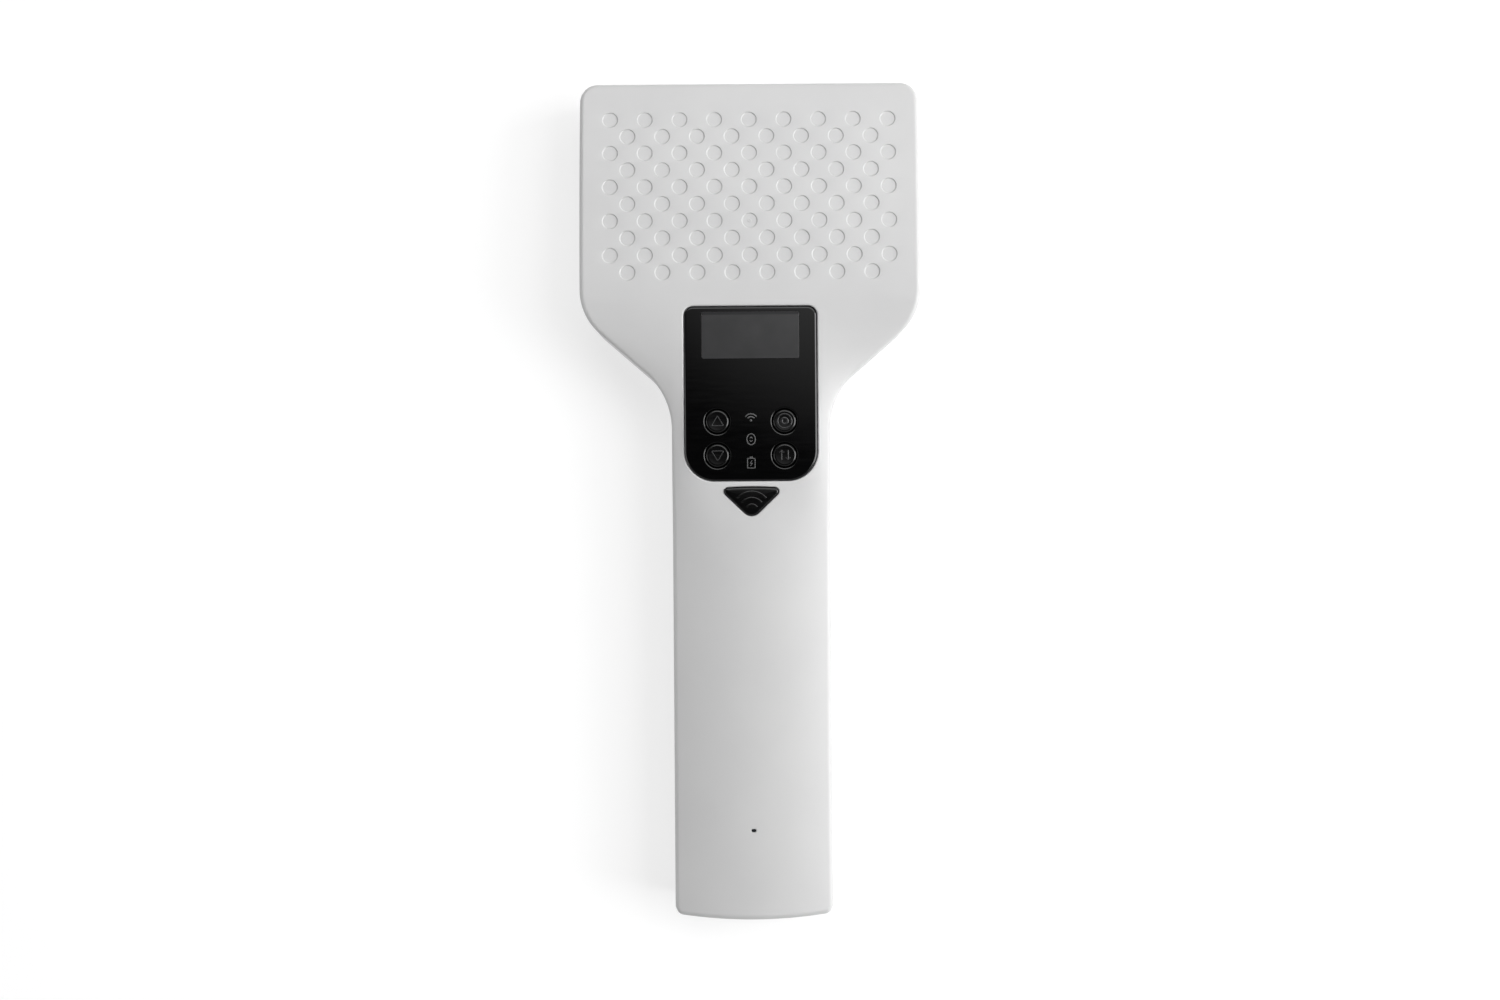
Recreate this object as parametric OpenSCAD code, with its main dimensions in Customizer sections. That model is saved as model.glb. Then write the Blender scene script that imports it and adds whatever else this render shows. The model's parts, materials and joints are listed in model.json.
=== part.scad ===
// Handheld microchip scanner for a veterinary clinic.
// Frame: +Z is the outward normal of the front face, +Y points from the handle to the head.
// Origin: on the flat back, in the middle of the length and of the width. Millimetres.

/* [Casing] */
// Length from the tip of the head to the end of the handle
length = 270; // [268:1:272]
// Width of the head
head_w = 109.5; // [108:0.5:112]
// Width of the handle
handle_w = 51; // [50.5:0.5:52]
// Height of the front face above the flat back
depth = 28; // [28:0.25:29]
// Height of the seam between the two shells
seam_z = 15; // [14.5:0.25:15.5]
// Thickness of the shells
wall = 2.2; // [2:0.1:2.3]
// How far the crown of the handle falls from its ridge to its sides
crown_drop = 3.5; // [2.5:0.5:4]
// Radius of the slow forward droop of the head
droop_r = 500; // [450:50:700]

/* [Head pattern] */
// Rows of shallow round recesses
dimple_rows = 10; // [6:1:10]
// Recesses in a long row, one more than in a short row
dimple_columns = 9; // [5:1:9]
// Distance between recesses in one row
dimple_pitch = 11.2; // [10.8:0.1:11.4]
// Distance between rows
dimple_row_pitch = 5.55; // [5.4:0.05:5.6]
// Radius of the flat floor of a recess
dimple_r = 2.2; // [1.8:0.1:2.3]
// Depth of a recess
dimple_depth = 0.35; // [0.2:0.05:0.45]

/* [Controls] */
// Width of the black control panel
panel_w = 42.6; // [42:0.2:43]
// Height of the control panel along the scanner
panel_l = 56; // [55:0.5:56.5]
// Radius of a round key at the panel's face
key_r = 3.7; // [3.4:0.1:3.75]
// How far a round key travels
key_travel = 1; // [0.6:0.1:1]
// How far the scan key travels
scan_travel = 1.2; // [0.8:0.1:1.2]

/* [Hidden] */
$fn = 48;

// Outline of the casing, seen from the front
tip_y = length / 2;
tip_corner_r = 5.8;
shoulder_y = 67.5;
shoulder_r = 18.5;
neck_r = 24.3;
turn = 49;              // each of the two shoulder arcs turns by this angle
end_r = 300;            // radius of the bowed end of the handle
end_corner_r = 3;
end_stop = 1.5;         // the bow's last points stand this many degrees beside its middle
end_cy = end_r * cos(end_stop) - tip_y;
shoulder_cx = head_w / 2 - shoulder_r;
neck_cx = handle_w / 2 + neck_r;
slope_dx = (shoulder_cx + shoulder_r * cos(turn)) - (neck_cx - neck_r * cos(turn));
neck_y = shoulder_y - shoulder_r * sin(turn) - slope_dx / tan(turn) - neck_r * sin(turn);

// Front surface
flat_end_y = -4;        // the front is flat above this line and crowned below it
blend_l = 28;           // length over which the flat runs out into the crown
droop_y = 60;           // the head starts to droop here
crown_r = (pow(handle_w / 2, 2) + pow(crown_drop, 2)) / (2 * crown_drop);
front_round = 1.5;      // rounding of the front edges
back_round = 3.4;       // rounding of the back edges

// Levels under the front face
seat_z = depth - 1.6;         // floor of the control panel's recess
tray_z = depth - 3.4;         // underside of the tray that carries the panel
flange_top = tray_z - 0.3;
flange_bottom = flange_top - 0.9;
board_top = depth - 7.8;
board_t = 1.6;
board_z = board_top - board_t;
mat_top = board_top + 1.2;
floor_z = 2.4;                // inside of the back wall

// Places
panel_y = 5.9 + panel_l / 2;
window_w = 31.3;
window_l = 15.2;
window_y = 52.6;
key_x = 10.75;
key_rows = [25, 14.1];
led_y = -106.1;
coil_y = 100;
cell_y0 = -99;
cell_l = 65;
cell_r = 9.2;
cell_x = 9.4;
cell_z = 13.2;
usb_z = 10.8;
charge_top = 9.2;
housing_bosses = [[29, 108], [32, 58.5], [19, -26.5], [19, -118]];
board_posts = [[19.4, 67], [19.4, 34], [19.4, -17]];
coil_posts = [[36, 81], [36, 119]];
charge_posts = [[9, -112]];

/* ---------- geometry helpers ---------- */

function arc(cx, cy, r, from, to, n) =
    [for (i = [0:n]) let (a = from + (to - from) * i / n) [cx + r * cos(a), cy + r * sin(a)]];

// Outward normal of the straight edge that touches circles a and b, each [x, y, r], going anticlockwise
function edge_angle(a, b) =
    atan2(b[1] - a[1], b[0] - a[0]) - acos((a[2] - b[2]) / norm([b[0] - a[0], b[1] - a[1]]));

// Outline around circles given anticlockwise, with round corners
function round_outline(c, n = 6) = [
    for (i = [0:len(c) - 1])
        let (
            before = c[(i + len(c) - 1) % len(c)],
            after = c[(i + 1) % len(c)],
            a0 = edge_angle(before, c[i]),
            a1 = edge_angle(c[i], after),
            sweep = (a1 - a0) - 360 * floor((a1 - a0) / 360)
        )
        each arc(c[i][0], c[i][1], c[i][2], a0, a0 + sweep, n)
];

function grown(c, by) = [for (k = c) [k[0], k[1], k[2] + by]];

// Corner circles of a rectangle centred on [x, y]
function corners(x, y, w, l, r) = [
    [x + w / 2 - r, y + l / 2 - r, r], [x - w / 2 + r, y + l / 2 - r, r],
    [x - w / 2 + r, y - l / 2 + r, r], [x + w / 2 - r, y - l / 2 + r, r]
];

// Right half of the casing's outline, from the tip to the end, moved inwards by d
function right_side(d) =
    let (
        rt = max(tip_corner_r - d, 0.5),
        re = max(end_corner_r - d, 0.5),
        ex = handle_w / 2 - d - re,
        ey = end_cy - sqrt(pow(end_r - d - re, 2) - ex * ex),
        ea = atan2(end_cy - ey, ex)
    )
    concat(
        arc(head_w / 2 - d - rt, tip_y - d - rt, rt, 90, 0, 5),
        arc(shoulder_cx, shoulder_y, shoulder_r - d, 0, -turn, 7),
        arc(neck_cx, neck_y, neck_r + d, 180 - turn, 180, 8),
        arc(ex, ey, re, 0, -ea, 4),
        arc(0, end_cy, end_r - d, -ea - 2, end_stop - 90, 4)
    );

half = len(right_side(0));

function outline(d) =
    let (right = right_side(d))
    concat(right, [for (i = [half - 1:-1:0]) [-right[i][0], right[i][1]]]);

// Height of the front surface over a point of the plan
function front_height(x, y) =
    y > droop_y
        ? depth - droop_r + sqrt(pow(droop_r, 2) - pow(y - droop_y, 2))
        : max(
            depth - crown_r + sqrt(pow(crown_r, 2) - x * x),
            depth - max(0, flat_end_y - y) * crown_drop / blend_l
        );

// Solid through rings of outline points. A ring is [inset, height, follow]: with follow set to 1 its
// height is measured from the front surface.
module outline_stack(rings) {
    n = 2 * half;
    points = [
        for (ring = rings)
            let (d = ring[0], edge = outline(0))
            for (i = [0:n - 1])
                let (p = outline(d)[i])
                [p[0], p[1], ring[1] + ring[2] * front_height(edge[i][0], edge[i][1])]
    ];
    sides = [
        for (k = [0:len(rings) - 2])
            for (i = [0:n - 1])
                let (j = (i + 1) % n, a = k * n, b = (k + 1) * n)
                each [[a + i, a + j, b + j], [a + i, b + j, b + i]]
    ];
    top = (len(rings) - 1) * n;
    caps = [
        for (i = [0:half - 2])
            each [
                [n - 1 - i, n - 2 - i, i + 1, i],
                [top + i, top + i + 1, top + n - 2 - i, top + n - 1 - i]
            ]
    ];
    polyhedron(points, concat(sides, caps), convexity = 6);
}

// Everything under the front surface lowered by d: crown, flat and droop
module under_front(d) {
    top = depth - d;
    intersection() {
        union() {
            translate([0, 0, depth - crown_r])
                rotate([90, 0, 0])
                    cylinder(r = crown_r - d, h = 2 * length, center = true, $fn = 200);
            rotate([90, 0, 90])
                linear_extrude(2 * head_w, center = true)
                    polygon([
                        [length, -1], [length, top], [flat_end_y, top],
                        [flat_end_y - 2 * blend_l, top - 2 * crown_drop], [flat_end_y - 2 * blend_l, -1]
                    ]);
        }
        union() {
            translate([-head_w, -length, -1])
                cube([2 * head_w, length + droop_y, top + 1]);
            translate([0, droop_y, depth - droop_r])
                rotate([0, 90, 0])
                    cylinder(r = droop_r - d, h = 2 * head_w, center = true, $fn = 200);
        }
    }
}

module slab(points, z0, z1) {
    translate([0, 0, z0])
        linear_extrude(z1 - z0)
            polygon(points);
}

module ring_slab(outer, inner, z0, z1) {
    difference() {
        slab(outer, z0, z1);
        slab(inner, z0 - 1, z1 + 1);
    }
}

module each_side(places) {
    for (p = places, side = [-1, 1])
        translate([side * p[0], p[1], 0])
            children();
}

// Pan-head screw standing on z = 0, its head below and its shank pointing up
module screw(head_r, head_h, shank_r, shank_l) {
    difference() {
        union() {
            translate([0, 0, -head_h])
                cylinder(r = head_r, h = head_h);
            cylinder(r = shank_r, h = shank_l);
        }
        translate([0, 0, -head_h - 0.1])
            cylinder(r = head_r * 0.45, h = head_h * 0.6, $fn = 6);
    }
}

// Smooth curve through the given points
function curve(p, n = 4) = [
    for (i = [0:len(p) - 2])
        let (a = p[max(i - 1, 0)], b = p[i], c = p[i + 1], d = p[min(i + 2, len(p) - 1)])
        for (k = [0:n - 1])
            let (t = k / n)
            0.5 * (2 * b + (c - a) * t + (2 * a - 5 * b + 4 * c - d) * t * t + (3 * b - a - 3 * c + d) * t * t * t),
    p[len(p) - 1]
];

// Round wire along a curve that never runs parallel to X
module wire(points, r, sides = 8) {
    path = curve(points);
    m = len(path);
    rings = [
        for (i = [0:m - 1])
            let (
                along = path[min(i + 1, m - 1)] - path[max(i - 1, 0)],
                u = cross(along, [1, 0, 0]) / norm(cross(along, [1, 0, 0])),
                v = cross(along, u) / norm(cross(along, u))
            )
            for (k = [0:sides - 1])
                path[i] + r * (cos(360 * k / sides) * u + sin(360 * k / sides) * v)
    ];
    skin = [
        for (i = [0:m - 2], k = [0:sides - 1])
            let (a = i * sides, b = (i + 1) * sides, l = (k + 1) % sides)
            each [[a + k, a + l, b + l], [a + k, b + l, b + k]]
    ];
    ends = [
        [for (k = [sides - 1:-1:0]) k],
        [for (k = [0:sides - 1]) (m - 1) * sides + k]
    ];
    polyhedron(rings, concat(skin, ends), convexity = 6);
}

/* ---------- shared outlines ---------- */

panel_corners = [
    [panel_w / 2 - 3, 5.9 + panel_l - 3, 3], [-panel_w / 2 + 3, 5.9 + panel_l - 3, 3],
    [-panel_w / 2 + 9.6, 15.5, 9.6], [panel_w / 2 - 9.6, 15.5, 9.6]
];
scan_corners = [[7.5, 2.55, 1.4], [-7.5, 2.55, 1.4], [0, -2.05, 3.35]];
window_corners = corners(0, window_y, window_w, window_l, 0.6);
coil_corners = corners(0, coil_y, 94, 55, 9);

module stadium(w, r, h) {
    for (side = [-1, 1])
        translate([side * (w / 2 - r), 0, 0])
            cylinder(r = r, h = h);
    translate([-(w / 2 - r), -r, 0])
        cube([w - 2 * r, 2 * r, h]);
}

module at_keys() {
    for (side = [-1, 1], y = key_rows)
        translate([side * key_x, y, 0])
            children();
}

module at_contacts() {
    at_keys()
        children();
    translate([0, 0.2, 0])
        children();
}

module dimples() {
    flare = 1.3;
    reach = 0.9;
    first_y = 72.8;
    for (row = [0:dimple_rows - 1])
        let (
            count = dimple_columns - 1 + row % 2,
            y = first_y + row * dimple_row_pitch
        )
        for (k = [0:count - 1])
            translate([(k - (count - 1) / 2) * dimple_pitch, y, front_height(0, y)])
                rotate([-asin((y - droop_y) / droop_r), 0, 0])
                    translate([0, 0, -dimple_depth])
                        cylinder(r1 = dimple_r, r2 = dimple_r + flare * reach, h = reach);
}

/* ---------- casing ---------- */

module front_shell() {
    color("white")
        difference() {
            union() {
                difference() {
                    intersection() {
                        outline_stack([
                            [0, seam_z, 0], [0, -front_round, 1],
                            [front_round * 0.3, -front_round * 0.3, 1], [front_round * 1.7, front_round * 0.3, 1],
                            [front_round * 1.7, depth + 6, 0]
                        ]);
                        under_front(0);
                    }
                    intersection() {
                        slab(outline(wall), seam_z - 1, depth);
                        under_front(wall);
                    }
                }
                // tongue that enters the rear shell's rim
                ring_slab(outline(1.35), outline(wall), seam_z - 1.4, seam_z + 0.5);
                // tray under the panel and the scan key
                intersection() {
                    union() {
                        slab(round_outline(corners(0, panel_y, panel_w + 4, panel_l + 4, 4)), tray_z, depth);
                        slab(round_outline(corners(0, 0, 30, 20, 3)), tray_z, depth);
                    }
                    under_front(0.6);
                }
                front_bosses();
            }
            slab(round_outline(grown(panel_corners, 0.15)), seat_z, depth + 2);
            slab(round_outline(corners(0, window_y, window_w + 1, window_l + 1, 0.6)), tray_z - 1, depth);
            at_keys()
                translate([0, 0, tray_z - 1])
                    cylinder(r = key_r + 0.3, h = 4);
            slab(round_outline(scan_corners), tray_z - 1, depth + 2);
            translate([0, led_y, 0])
                union() {
                    translate([0, 0, depth - 4])
                        stadium(1.6, 0.53, 6);
                    translate([0, 0, depth - 7])
                        cylinder(r = 1.55, h = 4.6);
                }
            dimples();
            each_side(housing_bosses)
                translate([0, 0, seam_z - 1])
                    cylinder(r = 1.2, h = 8);
            each_side(board_posts)
                translate([0, 0, board_top - 1])
                    cylinder(r = 0.85, h = 5);
        }
}

module front_bosses() {
    intersection() {
        union() {
            each_side(housing_bosses)
                translate([0, 0, seam_z + 0.05])
                    cylinder(r = 3.1, h = depth);
            each_side(board_posts)
                translate([0, 0, board_top])
                    cylinder(r = 2.2, h = depth);
            translate([0, led_y, depth - 7])
                cylinder(r = 2.6, h = 7);
        }
        under_front(0.6);
    }
}

module rear_shell() {
    rib_h = 2.2;
    color("white")
        difference() {
            union() {
                difference() {
                    outline_stack([
                        [back_round, 0, 0], [back_round * 0.42, back_round * 0.22, 0],
                        [back_round * 0.1, back_round * 0.62, 0], [0, back_round * 1.1, 0], [0, seam_z, 0]
                    ]);
                    outline_stack([
                        [back_round + 0.6, floor_z, 0], [wall + 1.2, floor_z + 1.6, 0],
                        [wall, floor_z + 4.6, 0], [wall, seam_z + 1, 0]
                    ]);
                }
                each_side(housing_bosses)
                    translate([0, 0, 1])
                        cylinder(r = 3.1, h = seam_z - 1);
                each_side(coil_posts)
                    translate([0, 0, 1])
                        cylinder(r = 2.4, h = 4);
                each_side(charge_posts)
                    translate([0, 0, 1])
                        cylinder(r = 2.2, h = charge_top - 1.2 - 1);
                // stiffening ribs inside the antenna's ring and along the neck
                for (x = [-18, 18])
                    translate([x - 0.6, 78, 2])
                        cube([1.2, 44, rib_h + 0.4]);
                for (y = [84, 100, 116])
                    translate([-24, y - 0.6, 2])
                        cube([48, 1.2, rib_h + 0.4]);
                for (x = [-12, 12])
                    translate([x - 0.6, -18, 2])
                        cube([1.2, 82, rib_h + 1.4]);
            }
            // rim that takes the gasket and the front shell's tongue
            slab(outline(1.2), seam_z - 2, seam_z + 1);
            each_side(housing_bosses) {
                translate([0, 0, -1])
                    cylinder(r = 2.6, h = 5);
                cylinder(r = 1.45, h = seam_z + 1);
            }
            each_side(coil_posts)
                translate([0, 0, 2])
                    cylinder(r = 0.85, h = 4);
            each_side(charge_posts)
                translate([0, 0, 4])
                    cylinder(r = 0.85, h = 6);
            translate([0, -tip_y + 6, usb_z])
                rotate([90, 0, 0])
                    stadium(9.4, 1.8, 8);
            slab(round_outline(corners(0, coil_y, 44, 36, 2)), -1, 0.4);
        }
}

module housing_gasket() {
    color("lightgray")
        ring_slab(outline(1.35), outline(wall - 0.1), seam_z - 2, seam_z - 1.5);
}

module housing_screws() {
    color("silver")
        each_side(housing_bosses)
            translate([0, 0, 4])
                screw(2.4, 1.7, 1.15, 16);
}

module rating_label() {
    color("gainsboro")
        slab(round_outline(corners(0, coil_y, 43.4, 35.4, 1.7)), 0.12, 0.38);
}

/* ---------- control panel and display ---------- */

module control_panel() {
    color([0.04, 0.04, 0.045])
        difference() {
            slab(round_outline(panel_corners), seat_z + 0.2, depth + 0.1);
            slab(round_outline(window_corners), seat_z - 1, depth + 1);
            at_keys() {
                translate([0, 0, seat_z - 1])
                    cylinder(r = key_r + 0.3, h = 5);
                translate([0, 0, depth - 0.4])
                    cylinder(r1 = key_r + 0.3, r2 = key_r + 1.5, h = 0.75);
            }
        }
}

module panel_adhesive() {
    color("dimgray")
        difference() {
            slab(round_outline(grown(panel_corners, -0.4)), seat_z, seat_z + 0.2);
            slab(round_outline(corners(0, window_y, window_w + 1, window_l + 1, 0.6)), seat_z - 1, depth);
            at_keys()
                translate([0, 0, seat_z - 1])
                    cylinder(r = key_r + 1, h = 5);
        }
}

module display_window() {
    color([0.24, 0.24, 0.25])
        slab(round_outline(grown(window_corners, -0.08)), seat_z + 0.2, depth + 0.1);
}

module oled_display() {
    color([0.1, 0.1, 0.12])
        translate([-17.25, window_y - 12.2, tray_z - 1.55])
            cube([34.5, 22.4, 1.45]);
}

module display_holder() {
    z0 = board_top;
    z1 = tray_z - 1.6;
    color("black")
        difference() {
            slab(round_outline(corners(0, window_y - 1, 36, 24, 1)), z0, z1);
            slab(round_outline(corners(0, window_y - 1, 30, 17, 1)), z0 - 1, z1 + 1);
            translate([-7, window_y - 14, z0 - 1])
                cube([14, 6, z1 - z0 + 2]);
        }
}

module display_flex() {
    t = 0.2;
    y0 = window_y - 12.25;
    color("peru")
        translate([-6, 0, 0])
            rotate([90, 0, 90])
                linear_extrude(12)
                    polygon([
                        [y0, tray_z - 1.2], [y0 - 2.4, tray_z - 1.2], [y0 - 3, tray_z - 1.8],
                        [y0 - 3, board_top], [y0 - 3 + t, board_top], [y0 - 3 + t, tray_z - 1.9],
                        [y0 - 2.3, tray_z - 1.2 - t], [y0, tray_z - 1.2 - t]
                    ]);
}

/* ---------- keys ---------- */

module round_key(x, y) {
    top = depth + 0.5;
    color([0.03, 0.03, 0.035])
        translate([x, y, 0])
            rotate_extrude()
                polygon(concat(
                    [[0, flange_bottom], [key_r + 1.05, flange_bottom], [key_r + 1.05, flange_top], [key_r, flange_top]],
                    arc(key_r - 0.7, top - 0.7, 0.7, 0, 90, 4),
                    [[0, top]]
                ));
}

module key_up() { round_key(-key_x, key_rows[0]); }
module key_down() { round_key(-key_x, key_rows[1]); }
module key_power() { round_key(key_x, key_rows[0]); }
module key_menu() { round_key(key_x, key_rows[1]); }

module scan_key() {
    gap = 0.28;
    color([0.03, 0.03, 0.035])
        union() {
            slab(round_outline(grown(scan_corners, -gap)), flange_bottom, depth + 0.2);
            slab(round_outline(grown(scan_corners, -gap - 0.5)), flange_bottom, depth + 0.6);
            slab(round_outline(grown(scan_corners, 0.9)), flange_bottom, flange_top);
        }
}

module keypad_mat() {
    post_r = 2.2;
    skirt_r = 3.4;
    color("silver")
        difference() {
            union() {
                slab(round_outline(corners(0, 11.5, 33, 39, 3)), board_top, mat_top);
                at_contacts()
                    translate([0, 0, mat_top - 0.1]) {
                        cylinder(r1 = skirt_r, r2 = post_r, h = 0.9);
                        cylinder(r = post_r, h = flange_bottom - mat_top + 0.1);
                    }
            }
            at_contacts()
                translate([0, 0, board_top - 1])
                    cylinder(r = 2.7, h = 1.8);
        }
}

module contact_pads() {
    color("gold")
        at_contacts()
            translate([0, 0, board_top])
                cylinder(r = 2, h = 0.1);
}

/* ---------- main board ---------- */

module main_board() {
    color("darkgreen")
        difference() {
            slab(round_outline(corners(0, 24.5, 44, 91, 2)), board_z, board_top);
            each_side(board_posts)
                translate([0, 0, board_z - 1])
                    cylinder(r = 1.1, h = 4);
        }
}

module board_screws() {
    color("silver")
        each_side(board_posts)
            translate([0, 0, board_z])
                screw(1.9, 1.3, 0.8, 4.6);
}

module chip(x, y, w, l, h) {
    translate([x - w / 2, y - l / 2, board_z - h])
        cube([w, l, h]);
}

module processor_chip() {
    color("#222222") chip(-8, 48, 10, 10, 1.4);
}

module reader_chip() {
    color("#2a2a2a") chip(10, 58, 5, 6, 1.5);
}

module tuning_capacitors() {
    color("saddlebrown")
        for (k = [0:4])
            chip(-6 + 3 * k, 66.5, 1.6, 3.2, 1.2);
}

module radio_module() {
    color("lightsteelblue") chip(9, 40, 16, 18, 2.4);
}

module buzzer() {
    color("#1c1c1c")
        translate([-11, 30, board_z - 4.5])
            difference() {
                cylinder(r = 6, h = 4.5);
                translate([0, 0, -1])
                    cylinder(r = 1, h = 3);
            }
}

module battery_socket() {
    color("ivory")
        difference() {
            chip(8, -14.5, 8, 7, 5);
            translate([4.8, -19, board_z - 4.2])
                cube([6.4, 7, 3.4]);
        }
}

module battery_plug() {
    color("white")
        translate([5.1, -20.5, board_z - 4.0])
            cube([5.8, 8.3, 3]);
}

module charge_cable_socket() {
    color("ivory") chip(14.6, -13.5, 3.4, 6, 5);
}

module coil_socket() {
    color("ivory") chip(15, 66, 5, 5, 3.2);
}

/* ---------- battery ---------- */

module battery_holder() {
    w = 39.2;
    end_w = 30;
    color("#181818")
        difference() {
            union() {
                translate([-w / 2, cell_y0 - 3, floor_z + 0.25])
                    cube([w, cell_l + 6, cell_z - floor_z - 2]);
                for (y = [cell_y0 - 3, cell_y0 + cell_l + 1])
                    translate([-end_w / 2, y, floor_z + 0.25])
                        cube([end_w, 2, cell_z - floor_z + 6]);
            }
            for (side = [-1, 1])
                translate([side * cell_x, cell_y0 - 1, cell_z])
                    rotate([-90, 0, 0])
                        cylinder(r = cell_r + 0.2, h = cell_l + 2);
        }
}

module battery_cells() {
    color("royalblue")
        for (side = [-1, 1])
            translate([side * cell_x, cell_y0, cell_z])
                rotate([-90, 0, 0]) {
                    cylinder(r = cell_r, h = cell_l - 0.8);
                    cylinder(r = 3, h = cell_l);
                }
}

module battery_contacts() {
    color("lightgray")
        for (y = [cell_y0 - 0.75, cell_y0 + cell_l + 0.25], side = [-1, 1])
            translate([side * cell_x - 4, y, cell_z - 4])
                cube([8, 0.5, 8]);
}

module battery_pads() {
    color("darkslategray")
        for (y = [-86, -56])
            translate([-12, y, cell_z + cell_r + 0.1])
                cube([24, 9, 2.2]);
}

module battery_lead(x, end_x) {
    wire([
        [end_x, -20.53, board_z - 2.5], [end_x, -21.6, board_z - 2.5], [end_x, -22.8, board_z - 2.5],
        [(x + end_x) / 2, -26, board_z - 4.2], [x, -28.6, cell_z + 0.4], [x, -29.9, cell_z], [x, -30.97, cell_z]
    ], 0.65);
}

module battery_lead_red() {
    color("red") battery_lead(5, 6.9);
}

module battery_lead_black() {
    color("black") battery_lead(9, 9.1);
}

/* ---------- charging end ---------- */

module charge_board() {
    color("darkgreen")
        difference() {
            slab(round_outline(corners(0, -117.75, 24, 27, 1)), charge_top - 1.2, charge_top);
            each_side(charge_posts)
                translate([0, 0, charge_top - 3])
                    cylinder(r = 1.1, h = 4);
        }
}

module charge_screws() {
    color("silver")
        each_side(charge_posts)
            translate([0, 0, charge_top])
                rotate([180, 0, 0])
                    screw(1.9, 1.3, 0.8, 4.8);
}

module charge_chip() {
    color("#222222")
        translate([-2.5, -120.5, charge_top])
            cube([5, 5, 1]);
}

module usb_socket() {
    mouth_y = -tip_y + 0.3;
    body_l = 7.4;
    color("silver")
        translate([0, mouth_y + body_l, usb_z])
            rotate([90, 0, 0]) {
                difference() {
                    stadium(8.94, 1.6, body_l);
                    translate([0, 0, 1])
                        stadium(8.34, 1.3, body_l);
                }
                translate([-3.35, -0.35, 0.5])
                    cube([6.7, 0.7, body_l - 1.3]);
            }
}

module charge_led() {
    color("palegreen")
        translate([-1, led_y - 0.6, charge_top])
            cube([2, 1.2, 0.8]);
}

module light_pipe() {
    color([0.85, 0.9, 0.95, 0.6])
        translate([0, led_y, 0]) {
            translate([0, 0, charge_top + 1])
                cylinder(r = 1.5, h = depth - 2.5 - charge_top - 1);
            translate([0, 0, depth - 3])
                stadium(1.5, 0.48, 2.7);
        }
}

// Four-core ribbon from the charging board, past the cells, to the main board
module charge_cable() {
    core_r = 0.5;
    color("lightgray")
        for (k = [0:3])
            let (x = 21.95, z = 14.2 + 2.02 * core_r * k, low = charge_top + core_r + 0.02 + 1.02 * k)
            wire([
                [9.6, -106.2, low], [12.2, -104.9, low + 0.4], [17.2, -104.3, low + 1.6], [20.6, -102.9, z - 1],
                [21.8, -98.5, z - 0.2], [x, -92, z], [x, -70, z], [x, -44, z], [x, -36, z],
                [x - 4.4, -31.8, z], [x - 7.2, -27.5, z], [x - 7.35, -22, z], [x - 7.35, -16.5, z]
            ], core_r);
}

/* ---------- antenna ---------- */

module coil_former() {
    z0 = 5;
    z1 = 15;
    flange = 1.2;
    color("white")
        difference() {
            union() {
                ring_slab(round_outline(grown(coil_corners, -3.6)), round_outline(grown(coil_corners, -5.4)), z0, z1);
                for (z = [z0, z1 - flange])
                    ring_slab(round_outline(coil_corners), round_outline(grown(coil_corners, -5.4)), z, z + flange);
                each_side(coil_posts)
                    slab(round_outline(corners(2, 0, 9, 8, 2)), z0, z0 + 1.6);
            }
            each_side(coil_posts)
                translate([0, 0, z0 - 1])
                    cylinder(r = 1.1, h = 4);
        }
}

module antenna_coil() {
    color("orangered")
        ring_slab(round_outline(grown(coil_corners, -0.6)), round_outline(grown(coil_corners, -3.4)), 6.3, 13.7);
}

module coil_screws() {
    color("silver")
        each_side(coil_posts)
            translate([0, 0, 6.65])
                rotate([180, 0, 0])
                    screw(1.9, 1.2, 0.8, 4);
}

module coil_leads() {
    color("firebrick")
        for (k = [0, 1])
            wire([
                [14 + 1.7 * k, 73.1, 9.4 + k], [14 + 1.7 * k, 71.8, 9.7 + k], [14.1 + 1.5 * k, 70.9, 12],
                [14.2 + 1.4 * k, 70.6, 14.6], [14.2 + 1.4 * k, 69.9, 16.6], [14.2 + 1.4 * k, 68.5, 17]
            ], 0.5);
}

front_shell();
rear_shell();
housing_gasket();
housing_screws();
rating_label();
control_panel();
panel_adhesive();
display_window();
oled_display();
display_holder();
display_flex();
key_up();
key_down();
key_power();
key_menu();
scan_key();
keypad_mat();
contact_pads();
main_board();
board_screws();
processor_chip();
reader_chip();
tuning_capacitors();
radio_module();
buzzer();
charge_cable_socket();
battery_socket();
battery_plug();
battery_lead_red();
battery_lead_black();
battery_holder();
battery_cells();
battery_contacts();
battery_pads();
charge_board();
charge_screws();
charge_chip();
usb_socket();
charge_led();
light_pipe();
charge_cable();
coil_former();
antenna_coil();
coil_screws();
coil_socket();
coil_leads();
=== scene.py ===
import json
import math

import bmesh
import bpy
import numpy as np
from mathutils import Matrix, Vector
from mathutils.geometry import tessellate_polygon


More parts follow.
